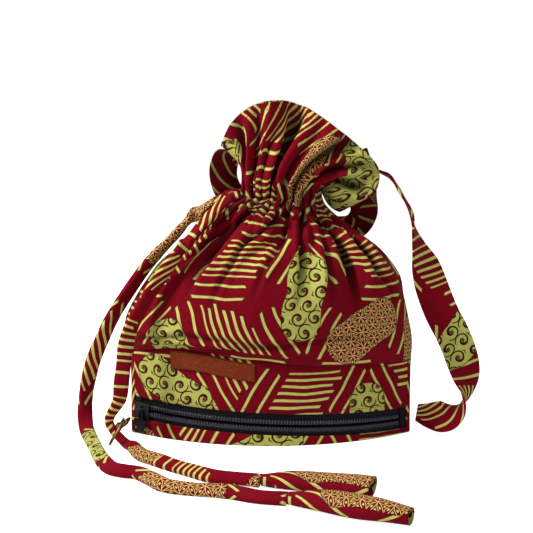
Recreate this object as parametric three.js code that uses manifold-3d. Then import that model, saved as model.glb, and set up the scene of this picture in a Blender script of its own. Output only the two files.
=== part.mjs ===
// Drawstring tote bag of printed cotton with a zipped compartment in its base.
// Millimetres, +Z up, +X to the right and +Y towards the back of the bag.
// The origin lies on the floor under the middle of the base.
import * as THREE from 'three';
import { mergeVertices } from 'three/addons/utils/BufferGeometryUtils.js';
import Module from 'manifold-3d';

const wasm = await Module();
wasm.setup();

// Cloth and clearances
const gap = 0.3;
const clothThickness = 1.4;
const liningThickness = 1.0;
const boardThickness = 2.4;

// Base plan: two wide arcs with rounded tips
const baseArcRadius = 190;
const baseHalfDepth = 48;
const baseTipRadius = 10;

// Heights
const seamHeight = 69.5;
const innerFloorHeight = 60;
const neckHeight = 203;

// Zipper round the front of the base
const zipHeight = 17.5;
const zipTiltDegrees = 2.4;
const zipEndMargin = 4.6;
const tapeThickness = 0.9;
const tapeSlit = 2.6;
const upperTapeReach = 16;
const lowerTapeReach = 11.5;
const upperTapeShown = 10.5;
const lowerTapeShown = 8.3;
const tapeAllowance = 0.7;
const toothPitch = 3;
const toothWidth = 0.95;
const toothOverlap = 1.5;
const coilHalfHeight = 5.2;
const coilThickness = 2.2;
const toothSlant = 0.7;

// Slider and pull
const sliderLength = 15;
const sliderSetIn = 5;
const sliderHalfHeight = 6.6;
const sliderPlate = 1.4;
const sliderClearance = 0.4;
const bridgeThickness = 1.6;
const bridgeLength = 3.2;
const crownWire = 1.3;
const crownHeight = 3.6;
const crownSpan = 6;
const crownFoot = 0.4;
const eyeHalfWidth = 1.5;
const eyeBar = 1.1;
const eyeLength = 4.5;
const pullWidth = 13.5;
const pullLength = 18;
const pullThickness = 1.6;
const knobTop = 5.5;

// Neck, gathers and the flared mouth
const neckHalfWidth = 31;
const neckHalfDepth = 20;
const neckCentre = 9.3;
const pleats = 14;
const pleatDepth = 1.9;
const flareStart = -50;
const flareEnd = 104;
const drawcordDiameter = 5;
const casingHeight = 22;
const eyeletHalfWidth = 3.6;

// Straps
const strapWidth = 29;
const strapThickness = 2.4;
const handleWidth = 24;
const handleThickness = 2.4;
const cordSection = 4.6;

// Label, ring and cord ends
const labelWidth = 74;
const labelHeight = 15.5;
const labelThickness = 1.5;
const ringDiameter = 26;
const ringWire = 2;
const cordEndWall = 1.2;
const tabWidth = 7;
const tabEye = 3.6;
const tabCloth = 1.3;
const tabReach = 31;
const tabReachSide = 5.6;
const tabSetIn = 3;
const ringStandOff = 7.4;
const ringLift = 0.9;
const ringLean = 29;

const arcCentreY = baseArcRadius - baseHalfDepth;
const tipCentreX = Math.sqrt((baseArcRadius - baseTipRadius) ** 2 - arcCentreY ** 2);
const tangentAngle = Math.atan2(tipCentreX, arcCentreY);
const baseHalfLength = tipCentreX + baseTipRadius;
const degrees = Math.PI / 180;
const zipHalfAngle = (tangentAngle - zipEndMargin / baseArcRadius) / degrees;
const zipTilt = zipTiltDegrees * degrees;

const ringRadius = (ringDiameter - ringWire) / 2;
const ringCentre = new THREE.Vector3(
  -baseHalfLength - ringStandOff,
  -ringRadius - tabReach - tabSetIn,
  ringLift + (ringDiameter / 2) * Math.cos(ringLean * degrees),
);

const bag = new THREE.Group();

const cotton = { color: 0x8a0a20, roughness: 0.9, metalness: 0 };
const cottonDark = { color: 0x5c0716, roughness: 0.92, metalness: 0 };
const nylonBlack = { color: 0x14141a, roughness: 0.6, metalness: 0 };
const leather = { color: 0x7c3a20, roughness: 0.6, metalness: 0 };
const brass = { color: 0x7a6238, roughness: 0.4, metalness: 1 };
const blackMetal = { color: 0x101014, roughness: 0.4, metalness: 0.8 };

function addPiece(name, geometry, look, parent = bag) {
  const mesh = new THREE.Mesh(geometry, new THREE.MeshStandardMaterial(look));
  mesh.name = name;
  parent.add(mesh);
  return mesh;
}

// Value at x from a list of [x, value] knots, on straight lines between them
function knots(list, x) {
  if (x <= list[0][0]) return list[0][1];
  for (let i = 1; i < list.length; i += 1) {
    if (x <= list[i][0]) {
      const t = (x - list[i - 1][0]) / (list[i][0] - list[i - 1][0]);
      return THREE.MathUtils.lerp(list[i - 1][1], list[i][1], t);
    }
  }
  return list[list.length - 1][1];
}

function solidVolume(points, faces) {
  let volume = 0;
  for (const [a, b, c] of faces) {
    volume += points[a].dot(new THREE.Vector3().crossVectors(points[b], points[c]));
  }
  return volume / 6;
}

function facesToGeometry(points, faces) {
  if (solidVolume(points, faces) < 0) {
    for (const face of faces) face.reverse();
  }
  const geometry = new THREE.BufferGeometry().setFromPoints(points);
  geometry.setIndex(faces.flat());
  geometry.computeVertexNormals();
  return geometry;
}

// A sheet with thickness: two grids of points that face each other, closed round their edges
function sheetSolid(outer, inner, wraps = false) {
  const rows = outer.length;
  const columns = outer[0].length;
  const points = [...outer.flat(), ...inner.flat()];
  const faces = [];
  const at = (side, row, column) => side * rows * columns + row * columns + (column % columns);
  const quad = (a, b, c, d) => faces.push([a, b, c], [a, c, d]);
  const spans = wraps ? columns : columns - 1;
  for (let j = 0; j < rows - 1; j += 1) {
    for (let i = 0; i < spans; i += 1) {
      quad(at(0, j, i), at(0, j, i + 1), at(0, j + 1, i + 1), at(0, j + 1, i));
      quad(at(1, j, i), at(1, j + 1, i), at(1, j + 1, i + 1), at(1, j, i + 1));
    }
  }
  const last = rows - 1;
  for (let i = 0; i < spans; i += 1) {
    quad(at(0, 0, i), at(1, 0, i), at(1, 0, i + 1), at(0, 0, i + 1));
    quad(at(0, last, i), at(0, last, i + 1), at(1, last, i + 1), at(1, last, i));
  }
  if (!wraps) {
    const end = columns - 1;
    for (let j = 0; j < last; j += 1) {
      quad(at(0, j, 0), at(0, j + 1, 0), at(1, j + 1, 0), at(1, j, 0));
      quad(at(0, j, end), at(1, j, end), at(1, j + 1, end), at(0, j + 1, end));
    }
  }
  return facesToGeometry(points, faces);
}

// A solid through closed rings of points, capped at both ends
function ringLoft(rings) {
  const count = rings[0].length;
  const points = rings.flat();
  const faces = [];
  for (let j = 0; j < rings.length - 1; j += 1) {
    for (let i = 0; i < count; i += 1) {
      const a = j * count + i;
      const b = j * count + ((i + 1) % count);
      faces.push([a, b, b + count], [a, b + count, a + count]);
    }
  }
  const top = (rings.length - 1) * count;
  for (let i = 1; i < count - 1; i += 1) {
    faces.push([0, i + 1, i], [top, top + i, top + i + 1]);
  }
  return facesToGeometry(points, faces);
}

// A flat strap through stations of centre and face direction
function ribbon(stations, width, thickness, steps) {
  const centres = new THREE.CatmullRomCurve3(stations.map((s) => new THREE.Vector3(...s.at)));
  const across = new THREE.CatmullRomCurve3(stations.map((s) => new THREE.Vector3(...s.across)));
  const rings = [];
  for (let i = 0; i <= steps; i += 1) {
    const t = i / steps;
    const centre = centres.getPoint(t);
    const along = centres.getTangent(t);
    const side = across.getPoint(t);
    side.addScaledVector(along, -side.dot(along)).normalize();
    const normal = new THREE.Vector3().crossVectors(along, side);
    const corner = (w, n) => centre.clone()
      .addScaledVector(side, (w * width) / 2)
      .addScaledVector(normal, (n * thickness) / 2);
    rings.push([corner(-1, -1), corner(1, -1), corner(1, 1), corner(-1, 1)]);
  }
  return ringLoft(rings);
}

// A plain cord of round section through its route
function cordSolid(route, radius, steps) {
  const section = new THREE.Shape();
  const sides = 8;
  for (let i = 0; i < sides; i += 1) {
    const angle = ((i + 0.5) / sides) * Math.PI * 2;
    const x = radius * Math.cos(angle);
    const y = radius * Math.sin(angle);
    if (i === 0) section.moveTo(x, y);
    else section.lineTo(x, y);
  }
  const path = new THREE.CatmullRomCurve3(route.map((p) => new THREE.Vector3(...p)));
  return new THREE.ExtrudeGeometry(section, { steps, extrudePath: path, bevelEnabled: false });
}

function toManifold(geometry) {
  const bare = geometry.clone();
  bare.deleteAttribute('normal');
  bare.deleteAttribute('uv');
  const merged = mergeVertices(bare, 1e-4);
  const solid = new wasm.Mesh({
    numProp: 3,
    vertProperties: Float32Array.from(merged.attributes.position.array),
    triVerts: Uint32Array.from(merged.index.array),
  });
  return new wasm.Manifold(solid);
}

function fromManifold(solid) {
  const mesh = solid.getMesh();
  const geometry = new THREE.BufferGeometry();
  geometry.setAttribute('position', new THREE.BufferAttribute(mesh.vertProperties, 3));
  geometry.setIndex(new THREE.BufferAttribute(mesh.triVerts, 1));
  geometry.computeVertexNormals();
  return geometry;
}

// Base plan
function frontArc(inset, angle) {
  const radius = baseArcRadius - inset;
  return [radius * Math.sin(angle), arcCentreY - radius * Math.cos(angle)];
}

// The wall line round both tips and the back, from the left end of the front to its right end
function wrapLine(inset) {
  const line = [];
  const tipSteps = 6;
  const backSteps = 16;
  const turn = (Math.PI - 2 * tangentAngle) / tipSteps;
  const trim = (gap / 2) / baseTipRadius;
  for (let i = 0; i <= tipSteps; i += 1) {
    const angle = tangentAngle + (i === 0 ? trim : i * turn);
    const radius = baseTipRadius - inset;
    line.push([-tipCentreX - radius * Math.sin(angle), -radius * Math.cos(angle)]);
  }
  for (let i = 1; i < backSteps; i += 1) {
    const angle = -tangentAngle + (i / backSteps) * 2 * tangentAngle;
    const radius = baseArcRadius - inset;
    line.push([radius * Math.sin(angle), radius * Math.cos(angle) - arcCentreY]);
  }
  const left = line.slice(0, tipSteps + 1).reverse();
  return [...line, ...left.map(([x, y]) => [-x, y])];
}

// The whole outline of the base, set in from the cloth
function baseShape(inset) {
  const points = wrapLine(inset).map(([x, y]) => new THREE.Vector2(x, y));
  const frontSteps = 20;
  for (let i = 1; i < frontSteps; i += 1) {
    const angle = tangentAngle - (i / frontSteps) * 2 * tangentAngle;
    points.push(new THREE.Vector2(...frontArc(inset, angle)));
  }
  return new THREE.Shape(points);
}

const seamLine = [
  [-baseHalfLength, 70.5], [-88, 79], [-14, 72.5], [48, 66.5], [83, 66], [baseHalfLength, 63.5],
];
const seamAt = (x) => knots(seamLine, x);
const zipAt = (x) => zipHeight - Math.tan(zipTilt) * x;

function wallSheet(line, innerLine, low, high) {
  const outer = [
    line.map(([x, y]) => new THREE.Vector3(x, y, low(x))),
    line.map(([x, y]) => new THREE.Vector3(x, y, high(x))),
  ];
  const inner = [
    innerLine.map(([x, y], i) => new THREE.Vector3(x, y, low(line[i][0]))),
    innerLine.map(([x, y], i) => new THREE.Vector3(x, y, high(line[i][0]))),
  ];
  return sheetSolid(outer, inner);
}

function frontLine(inset, halfAngle, steps) {
  const line = [];
  for (let i = 0; i <= steps; i += 1) {
    line.push(frontArc(inset, -halfAngle + (i / steps) * 2 * halfAngle));
  }
  return line;
}

// Walls and floor of the zipped base
const wallEnd = tangentAngle - (gap / 2) / baseArcRadius;
const wallOuter = frontLine(0, wallEnd, 24);
const wallInner = frontLine(clothThickness, wallEnd, 24);
const bandLow = (x) => zipAt(x) + upperTapeShown;
const bandHigh = (x) => seamAt(x) - gap / 2;
const stripHigh = (x) => zipAt(x) - lowerTapeShown;
addPiece('band_front', wallSheet(wallOuter, wallInner, bandLow, bandHigh), cotton);
addPiece('base_strip_front', wallSheet(wallOuter, wallInner, () => 0, stripHigh), cotton);
addPiece('band_back', wallSheet(wrapLine(0), wrapLine(clothThickness), () => 0, bandHigh), cotton);

function plate(inset, thickness, z) {
  const geometry = new THREE.ExtrudeGeometry(baseShape(inset), {
    depth: thickness,
    bevelEnabled: false,
  });
  geometry.translate(0, 0, z);
  return geometry;
}

addPiece('base_panel', plate(clothThickness + tapeThickness + 2 * tapeAllowance, boardThickness, 0), cottonDark);
addPiece('inner_floor', plate(clothThickness + gap, liningThickness, innerFloorHeight), cottonDark);

// Zipper, built level and then tilted as one
const zipper = new THREE.Group();
zipper.rotation.y = zipTilt;
zipper.position.z = zipHeight;
bag.add(zipper);

const tapeInset = clothThickness + tapeAllowance;
const tapeOuter = frontLine(tapeInset, zipHalfAngle * degrees, 24);
const tapeInner = frontLine(tapeInset + tapeThickness, zipHalfAngle * degrees, 24);

function tapeSheet(low, high) {
  return wallSheet(tapeOuter, tapeInner, () => low, () => high);
}

addPiece('zipper_tape_upper', tapeSheet(tapeSlit / 2, upperTapeReach), nylonBlack, zipper);
addPiece('zipper_tape_lower', tapeSheet(-lowerTapeReach, -tapeSlit / 2), nylonBlack, zipper);

const coilBase = baseArcRadius - tapeInset + gap;

// One row of the coil: slanted teeth on a spine, meshing with the teeth of the other row
function coilRow(side, shift) {
  const radius = coilBase;
  const slant = toothSlant * side;
  const root = toothOverlap + gap;
  const count = Math.floor((2 * radius * zipHalfAngle * degrees) / toothPitch) - 2;
  const start = -(count * toothPitch) / 2 + shift;
  const points = [];
  for (let i = 0; i < count; i += 1) {
    const left = start + i * toothPitch;
    const right = left + toothWidth;
    const corners = [
      [left, root], [left - slant, -toothOverlap], [right - slant, -toothOverlap],
      [right, root], [right, coilHalfHeight], [left, coilHalfHeight],
    ];
    for (const [s, z] of corners) {
      for (const r of [radius, radius + coilThickness]) {
        const angle = s / radius;
        points.push(new THREE.Vector3(r * Math.sin(angle), arcCentreY - r * Math.cos(angle), z * side));
      }
    }
  }
  const faces = [];
  const at = (tooth, corner, layer) => tooth * 12 + corner * 2 + layer;
  const quad = (a, b, c, d) => faces.push([a, b, c], [a, c, d]);
  const cap = (a, b, c, d) => {
    quad(at(...a, 0), at(...b, 0), at(...c, 0), at(...d, 0));
    quad(at(...d, 1), at(...c, 1), at(...b, 1), at(...a, 1));
  };
  const edge = (a, b) => quad(at(...b, 0), at(...a, 0), at(...a, 1), at(...b, 1));
  for (let i = 0; i < count; i += 1) {
    cap([i, 0], [i, 1], [i, 2], [i, 3]);
    cap([i, 0], [i, 3], [i, 4], [i, 5]);
    edge([i, 0], [i, 1]);
    edge([i, 1], [i, 2]);
    edge([i, 2], [i, 3]);
    edge([i, 4], [i, 5]);
    if (i < count - 1) {
      cap([i, 3], [i + 1, 0], [i + 1, 5], [i, 4]);
      edge([i, 3], [i + 1, 0]);
      edge([i + 1, 5], [i, 4]);
    }
  }
  edge([0, 5], [0, 0]);
  edge([count - 1, 3], [count - 1, 4]);
  return facesToGeometry(points, faces);
}

addPiece('zipper_coil_upper', coilRow(1, 0), nylonBlack, zipper);
addPiece('zipper_coil_lower', coilRow(-1, toothPitch / 2 - toothSlant), nylonBlack, zipper);

// Slider: two plates with side walls round the coil, joined by a bridge at the closed end
const sliderAngle = -zipHalfAngle * degrees + sliderSetIn / baseArcRadius;
const slider = new THREE.Group();
slider.position.set(0, arcCentreY, 0);
slider.rotation.z = sliderAngle;
zipper.add(slider);

function block(x, y, z, cx, cy, cz) {
  return toManifold(new THREE.BoxGeometry(x, y, z).translate(cx, cy, cz));
}

const topPlateY = -(coilBase + coilThickness + sliderClearance + sliderPlate / 2);
const backPlateY = -(coilBase - gap - tapeThickness - sliderClearance - sliderPlate / 2);
const bridgeX = -sliderLength / 2 + bridgeLength / 2;
const wallDepth = coilThickness + sliderClearance - 0.5;
const wallY = -(coilBase + coilThickness + sliderClearance - wallDepth / 2);
let sliderBody = block(sliderLength, sliderPlate, 2 * sliderHalfHeight, 0, topPlateY, 0);
sliderBody = sliderBody.add(block(sliderLength, sliderPlate, 2 * sliderHalfHeight, 0, backPlateY, 0));
const bridgeDepth = Math.abs(topPlateY - backPlateY);
sliderBody = sliderBody.add(
  block(bridgeLength, bridgeDepth, bridgeThickness, bridgeX, (topPlateY + backPlateY) / 2, 0),
);
for (const side of [-1, 1]) {
  const wallZ = side * (sliderHalfHeight - 0.45);
  sliderBody = sliderBody.add(block(sliderLength, wallDepth + 0.2, 0.9, 0, wallY, wallZ));
}
const crownBase = -(coilBase + coilThickness + sliderClearance + sliderPlate);
const crownPoints = [
  [0, crownBase + crownFoot, -crownSpan / 2 + crownFoot],
  [0, crownBase - crownHeight * 0.7, -crownSpan / 2 + crownFoot],
  [0, crownBase - crownHeight, -crownSpan / 4],
  [0, crownBase - crownHeight, crownSpan / 4],
  [0, crownBase - crownHeight * 0.7, crownSpan / 2 - crownFoot],
  [0, crownBase + crownFoot, crownSpan / 2 - crownFoot],
];
sliderBody = sliderBody.add(toManifold(cordSolid(crownPoints, crownWire / 2, 16)));
addPiece('zipper_slider', fromManifold(sliderBody), blackMetal, slider);

// Pull: an eye whose top bar lies inside the crown, and a tab that hangs from it
const pullPivotY = crownBase - (crownHeight - crownWire / 2) / 2;
const pullPivotZ = -crownSpan / 2 + crownFoot + crownWire / 2 + sliderClearance + eyeBar / 2;
const pullShape = new THREE.Shape();
const eyeOuter = eyeHalfWidth + eyeBar;
const eyeFoot = -eyeBar / 2 - eyeLength;
pullShape.moveTo(-eyeOuter, eyeBar / 2);
pullShape.lineTo(-eyeOuter, eyeFoot - eyeBar);
pullShape.lineTo(-pullWidth / 2, eyeFoot - 2 * eyeBar);
pullShape.lineTo(-pullWidth / 2, knobTop - pullLength);
pullShape.lineTo(-pullWidth / 4, knobTop - pullLength - 1);
pullShape.lineTo(-pullWidth / 4, 0.5 - pullLength);
pullShape.lineTo(-pullWidth / 8, -pullLength);
pullShape.lineTo(pullWidth / 8, -pullLength);
pullShape.lineTo(pullWidth / 4, 0.5 - pullLength);
pullShape.lineTo(pullWidth / 4, knobTop - pullLength - 1);
pullShape.lineTo(pullWidth / 2, knobTop - pullLength);
pullShape.lineTo(pullWidth / 2, eyeFoot - 2 * eyeBar);
pullShape.lineTo(eyeOuter, eyeFoot - eyeBar);
pullShape.lineTo(eyeOuter, eyeBar / 2);
const eye = new THREE.Path();
eye.moveTo(-eyeHalfWidth, -eyeBar / 2);
eye.lineTo(eyeHalfWidth, -eyeBar / 2);
eye.lineTo(eyeHalfWidth, eyeFoot);
eye.lineTo(-eyeHalfWidth, eyeFoot);
pullShape.holes.push(eye);
const pullGeometry = new THREE.ExtrudeGeometry(pullShape, {
  depth: pullThickness,
  bevelEnabled: false,
});
pullGeometry.translate(0, 0, -pullThickness / 2);
pullGeometry.rotateX(Math.PI / 2);
const pull = new THREE.Group();
pull.position.set(0, pullPivotY, pullPivotZ);
slider.add(pull);
addPiece('zipper_pull', pullGeometry, blackMetal, pull);

// Upper body: outline by height, left and right of the middle, and depth
const bodyLeft = [
  [seamHeight, baseHalfLength], [80, 125.5], [99, 124.5], [120, 113.5], [136, 102.5], [148, 93.5],
  [162, 77.5], [172, 66.5], [180, 56.5], [188, 46.5], [196, 34.5], [neckHeight, neckHalfWidth - neckCentre],
];
const bodyRight = [
  [seamHeight, baseHalfLength], [80, 121.5], [99, 118], [120, 113], [136, 109.5], [148, 101.5],
  [162, 88], [172, 73], [180, 61.5], [188, 51], [196, 43], [neckHeight, neckHalfWidth + neckCentre],
];
const bodyDepth = [
  [seamHeight, baseHalfDepth], [80, 54], [99, 57], [120, 56], [136, 53], [148, 48.5],
  [162, 41], [172, 35], [180, 31], [188, 27], [196, 23], [neckHeight, neckHalfDepth],
];
const bodyHeights = [88, 99, 112, 124, 136, 148, 160, 170, 179, 187, 194];
const flareRadius = [
  [flareStart, 67], [-27, 78], [4, 80], [17, 77], [32, 74], [48, 75], [64, 80.5], [73, 84], [79, 82], [86, 76],
  [93, 62], [flareEnd, 50],
];
const eyeletRows = [neckHeight - 5, neckHeight - 2.5, neckHeight + 2.5, neckHeight + 5];

function pleatWave(bearing, height) {
  const growth = THREE.MathUtils.smoothstep(height, 95, 185);
  const drift = 0.8 * Math.sin(2 * bearing + 0.7);
  const main = Math.sin(pleats * bearing + drift);
  const small = 0.35 * Math.sin((pleats / 2 + 2) * bearing + 2.1);
  return pleatDepth * growth * (main + small);
}

// A point of the body's outer face: bearing 0 is the right seam, half a turn the left one
// Long folds that fall from the neck: a line in X and Z, half its width, and its depth
const frontFolds = [
  { line: [[27, 197], [0, 168], [-36, 143]], wide: 7.5, deep: 5.5 },
  { line: [[30, 197], [32, 158], [28, 112]], wide: 7, deep: 5 },
  { line: [[40, 192], [66, 150], [72, 104]], wide: 10, deep: 7 },
  { line: [[-6, 199], [-58, 162], [-88, 122]], wide: 8, deep: 4.5 },
];
const backFolds = [
  { line: [[22, 197], [36, 150], [50, 100]], wide: 9, deep: 5.5 },
  { line: [[6, 197], [-12, 150], [-30, 98]], wide: 9, deep: 5.5 },
  { line: [[-8, 198], [-46, 164], [-78, 112]], wide: 9, deep: 4.5 },
];

function foldDepth(x, z, folds) {
  let total = 0;
  folds.forEach(({ line, wide, deep }) => {
    let nearest = Infinity;
    let share = 0;
    for (let i = 0; i + 1 < line.length; i += 1) {
      const [ax, az] = line[i];
      const runX = line[i + 1][0] - ax;
      const runZ = line[i + 1][1] - az;
      const along = ((x - ax) * runX + (z - az) * runZ) / (runX ** 2 + runZ ** 2);
      const t = THREE.MathUtils.clamp(along, 0, 1);
      const distance = Math.hypot(x - ax - t * runX, z - az - t * runZ);
      if (distance < nearest) {
        nearest = distance;
        share = (i + t) / (line.length - 1);
      }
    }
    const { smoothstep } = THREE.MathUtils;
    const strength = smoothstep(share, 0, 0.1) * (1 - smoothstep(share, 0.55, 1));
    const valley = Math.exp(-((nearest / wide) ** 2));
    const ridge = 0.45 * Math.exp(-(((nearest - 1.9 * wide) / wide) ** 2));
    total += deep * strength * (valley - ridge);
  });
  return total;
}

function bodyPoint(bearing, height) {
  const left = knots(bodyLeft, height);
  const right = knots(bodyRight, height);
  const depth = knots(bodyDepth, height);
  const power = 1 + 0.35 * (1 - THREE.MathUtils.smoothstep(height, seamHeight, 150));
  const cos = Math.cos(bearing);
  const sin = Math.sin(bearing);
  const swell = pleatWave(bearing, height);
  const x = (right - left) / 2 + ((right + left) / 2 + swell) * cos;
  const plain = (depth + swell) * Math.sign(sin) * Math.abs(sin) ** power;
  const { smoothstep } = THREE.MathUtils;
  const reach = smoothstep(Math.abs(sin), 0.02, 0.35) * (1 - smoothstep(height, 185, 200));
  const sink = reach * foldDepth(x, height, sin < 0 ? frontFolds : backFolds);
  return new THREE.Vector3(x, plain - Math.sign(sin) * sink, height);
}

// The lowest rows follow the seam: share 0 lies on it and share 1 on the first level row
function seamPoint(bearing, share) {
  const height = THREE.MathUtils.lerp(seamHeight, bodyHeights[0], share);
  const point = bodyPoint(bearing, height);
  point.z = THREE.MathUtils.lerp(seamAt(point.x) + gap / 2, bodyHeights[0], share);
  return point;
}

// Above the neck the cloth fans out to the right in a front and a back layer
function rimPoint(bearing) {
  const turn = bearing > Math.PI ? (bearing - Math.PI) / Math.PI : (Math.PI - bearing) / Math.PI;
  const front = bearing > Math.PI ? -1 : 1;
  const angle = THREE.MathUtils.lerp(flareStart, flareEnd, turn);
  const radius = knots(flareRadius, angle);
  const open = Math.sin(Math.PI * turn);
  const ruffle = 3.2 * Math.sin(turn * 21 + (front > 0 ? 1.4 : 0)) * open;
  const crease = 9 * Math.exp(-(((turn - 0.4) / 0.035) ** 2));
  const lobe = 9 * Math.exp(-(((turn - 0.9) / 0.06) ** 2));
  const y = front * (1.5 + 15 * open ** 0.6 - crease + lobe) + ruffle;
  return new THREE.Vector3(
    neckCentre + radius * Math.sin(angle * degrees),
    y,
    neckHeight + radius * Math.cos(angle * degrees),
  );
}

function flarePoint(bearing, t) {
  const start = bodyPoint(bearing, neckHeight);
  start.z += 5;
  const end = rimPoint(bearing);
  const rise = new THREE.Vector3(0, 0, 62);
  const outward = new THREE.Vector3(end.x - neckCentre, 0, end.z - neckHeight).setLength(62);
  const t2 = t * t;
  const t3 = t2 * t;
  return start.multiplyScalar(2 * t3 - 3 * t2 + 1)
    .addScaledVector(rise, t3 - 2 * t2 + t)
    .addScaledVector(end, -2 * t3 + 3 * t2)
    .addScaledVector(outward, t3 - t2);
}

// Rows of the tube of cloth, from the seam to the rim; the side seams open at the eyelets
const flareSteps = [0.14, 0.3, 0.48, 0.66, 0.83, 1];
function clothRows(from, to, columns) {
  const seamTrim = (height, depth) => {
    const eyelet = Math.abs(height - neckHeight) < 3 ? eyeletHalfWidth : gap / 2;
    const power = 1 + 0.35 * (1 - THREE.MathUtils.smoothstep(height, seamHeight, 150));
    return (eyelet / depth) ** (1 / power);
  };
  const row = (trim, place) => {
    const points = [];
    for (let i = 0; i <= columns; i += 1) {
      points.push(place(THREE.MathUtils.lerp(from + trim, to - trim, i / columns)));
    }
    return points;
  };
  const rows = [0, 0.5].map((share) => (
    row(seamTrim(seamHeight, baseHalfDepth), (bearing) => seamPoint(bearing, share))
  ));
  for (const height of [...bodyHeights, ...eyeletRows]) {
    const onNeck = Math.min(height, neckHeight);
    rows.push(row(seamTrim(height, knots(bodyDepth, height)), (bearing) => {
      const point = bodyPoint(bearing, onNeck);
      point.z = height;
      return point;
    }));
  }
  for (const t of flareSteps) {
    rows.push(row(gap / 2 / neckHalfDepth, (bearing) => flarePoint(bearing, t)));
  }
  return rows;
}

// The inner face of a panel lies one thickness behind the outer one and stays on its own side
function insetRows(rows, thickness, side) {
  const last = rows.length - 1;
  const end = rows[0].length - 1;
  return rows.map((row, j) => row.map((point, i) => {
    const up = rows[Math.min(j + 1, last)][i].clone().sub(rows[Math.max(j - 1, 0)][i]);
    const along = row[Math.min(i + 1, end)].clone().sub(row[Math.max(i - 1, 0)]);
    const normal = new THREE.Vector3().crossVectors(along, up);
    if (i === 0 || i === end) normal.y = 0;
    const inner = point.clone().addScaledVector(normal.normalize(), -thickness);
    inner.y = side * Math.max(side * inner.y, gap / 2);
    return inner;
  }));
}

const panelColumns = 44;
for (const [name, from, to, side] of [['body_front', Math.PI, 2 * Math.PI, -1], ['body_back', 0, Math.PI, 1]]) {
  const outer = clothRows(from, to, panelColumns);
  addPiece(name, sheetSolid(outer, insetRows(outer, clothThickness, side)), cotton);
}

// Drawcord inside the neck, with the casing strip that holds it to the cloth
function neckRing(reduce, z, count = 28) {
  const ring = [];
  for (let i = 0; i < count; i += 1) {
    const angle = (i / count) * 2 * Math.PI;
    ring.push(new THREE.Vector3(
      neckCentre + (neckHalfWidth - reduce) * Math.cos(angle),
      (neckHalfDepth - reduce) * Math.sin(angle),
      neckHeight + z,
    ));
  }
  return ring;
}

const neckInside = clothThickness + 1.35 * pleatDepth + gap;
const cordCentre = neckInside + drawcordDiameter / 2;
const cordInside = neckInside + drawcordDiameter + gap;
const drawcordRings = [];
for (let i = 0; i < 8; i += 1) {
  const angle = (i / 8) * 2 * Math.PI;
  const radius = drawcordDiameter / 2;
  drawcordRings.push(neckRing(cordCentre + radius * Math.cos(angle), radius * Math.sin(angle)));
}

// A ring of closed section: rows round the section, each a closed loop
function loopSolid(rows) {
  const columns = rows[0].length;
  const points = rows.flat();
  const faces = [];
  rows.forEach((row, j) => {
    for (let i = 0; i < columns; i += 1) {
      const a = j * columns + i;
      const b = j * columns + ((i + 1) % columns);
      const c = ((j + 1) % rows.length) * columns + ((i + 1) % columns);
      const d = ((j + 1) % rows.length) * columns + i;
      faces.push([a, b, c], [a, c, d]);
    }
  });
  return facesToGeometry(points, faces);
}

addPiece('drawcord', loopSolid(drawcordRings), cottonDark);
const casingProfile = [
  [neckInside, -casingHeight / 2], [cordInside, -casingHeight / 4],
  [cordInside, casingHeight / 4], [neckInside, casingHeight / 2],
];
const casingRows = [
  ...casingProfile.map(([reduce, z]) => neckRing(reduce, z)),
  ...casingProfile.reverse().map(([reduce, z]) => neckRing(reduce + liningThickness, z)),
];
addPiece('drawcord_casing', loopSolid(casingRows), cottonDark);

// Label on the front of the band
const labelAngle = -15;
const labelRadius = baseArcRadius + gap;
const labelSpan = labelWidth / labelRadius;
const labelLine = (radius) => {
  const line = [];
  for (let i = 0; i <= 10; i += 1) {
    const angle = labelAngle * degrees + (i / 10 - 0.5) * labelSpan;
    line.push([radius * Math.sin(angle), arcCentreY - radius * Math.cos(angle)]);
  }
  return line;
};
const labelDrop = 2.2;
const labelHigh = (x) => seamAt(x) - labelDrop;
const labelLow = (x) => seamAt(x) - labelDrop - labelHeight;
addPiece(
  'label_patch',
  wallSheet(labelLine(labelRadius + labelThickness), labelLine(labelRadius), labelLow, labelHigh),
  leather,
);

// Ring at the left corner of the base, in its cloth tab
const ringGeometry = new THREE.TorusGeometry(ringRadius, ringWire / 2, 8, 24);
ringGeometry.rotateY(Math.PI / 2);
const ring = new THREE.Group();
ring.position.copy(ringCentre);
ring.rotation.y = ringLean * degrees;
bag.add(ring);
addPiece('corner_ring', ringGeometry, brass, ring);

const tabProfile = new THREE.Shape();
const tabHole = new THREE.Path();
const tabHalf = tabEye / 2 + tabCloth;
tabProfile.moveTo(-tabHalf, ringRadius - tabHalf);
tabProfile.lineTo(tabHalf, ringRadius - tabHalf);
tabProfile.lineTo(tabHalf, ringRadius + tabHalf);
tabProfile.lineTo(tabReachSide + tabCloth, ringRadius + tabReach);
tabProfile.lineTo(tabReachSide - tabCloth, ringRadius + tabReach);
tabProfile.lineTo(-tabHalf, ringRadius + tabHalf);
tabHole.moveTo(-tabEye / 2, ringRadius - tabEye / 2);
tabHole.lineTo(tabEye / 2, ringRadius - tabEye / 2);
tabHole.lineTo(tabEye / 2, ringRadius + tabEye / 2);
tabHole.lineTo(-tabEye / 2, ringRadius + tabEye / 2);
tabProfile.holes.push(tabHole);
const tabGeometry = new THREE.ExtrudeGeometry(tabProfile, { depth: tabWidth, bevelEnabled: false });
tabGeometry.translate(0, 0, -tabWidth / 2);
const ringTab = new THREE.Group();
ringTab.position.copy(ringCentre);
ringTab.rotation.y = ringLean * degrees;
bag.add(ringTab);
addPiece('ring_tab', tabGeometry, cotton, ringTab);

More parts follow.
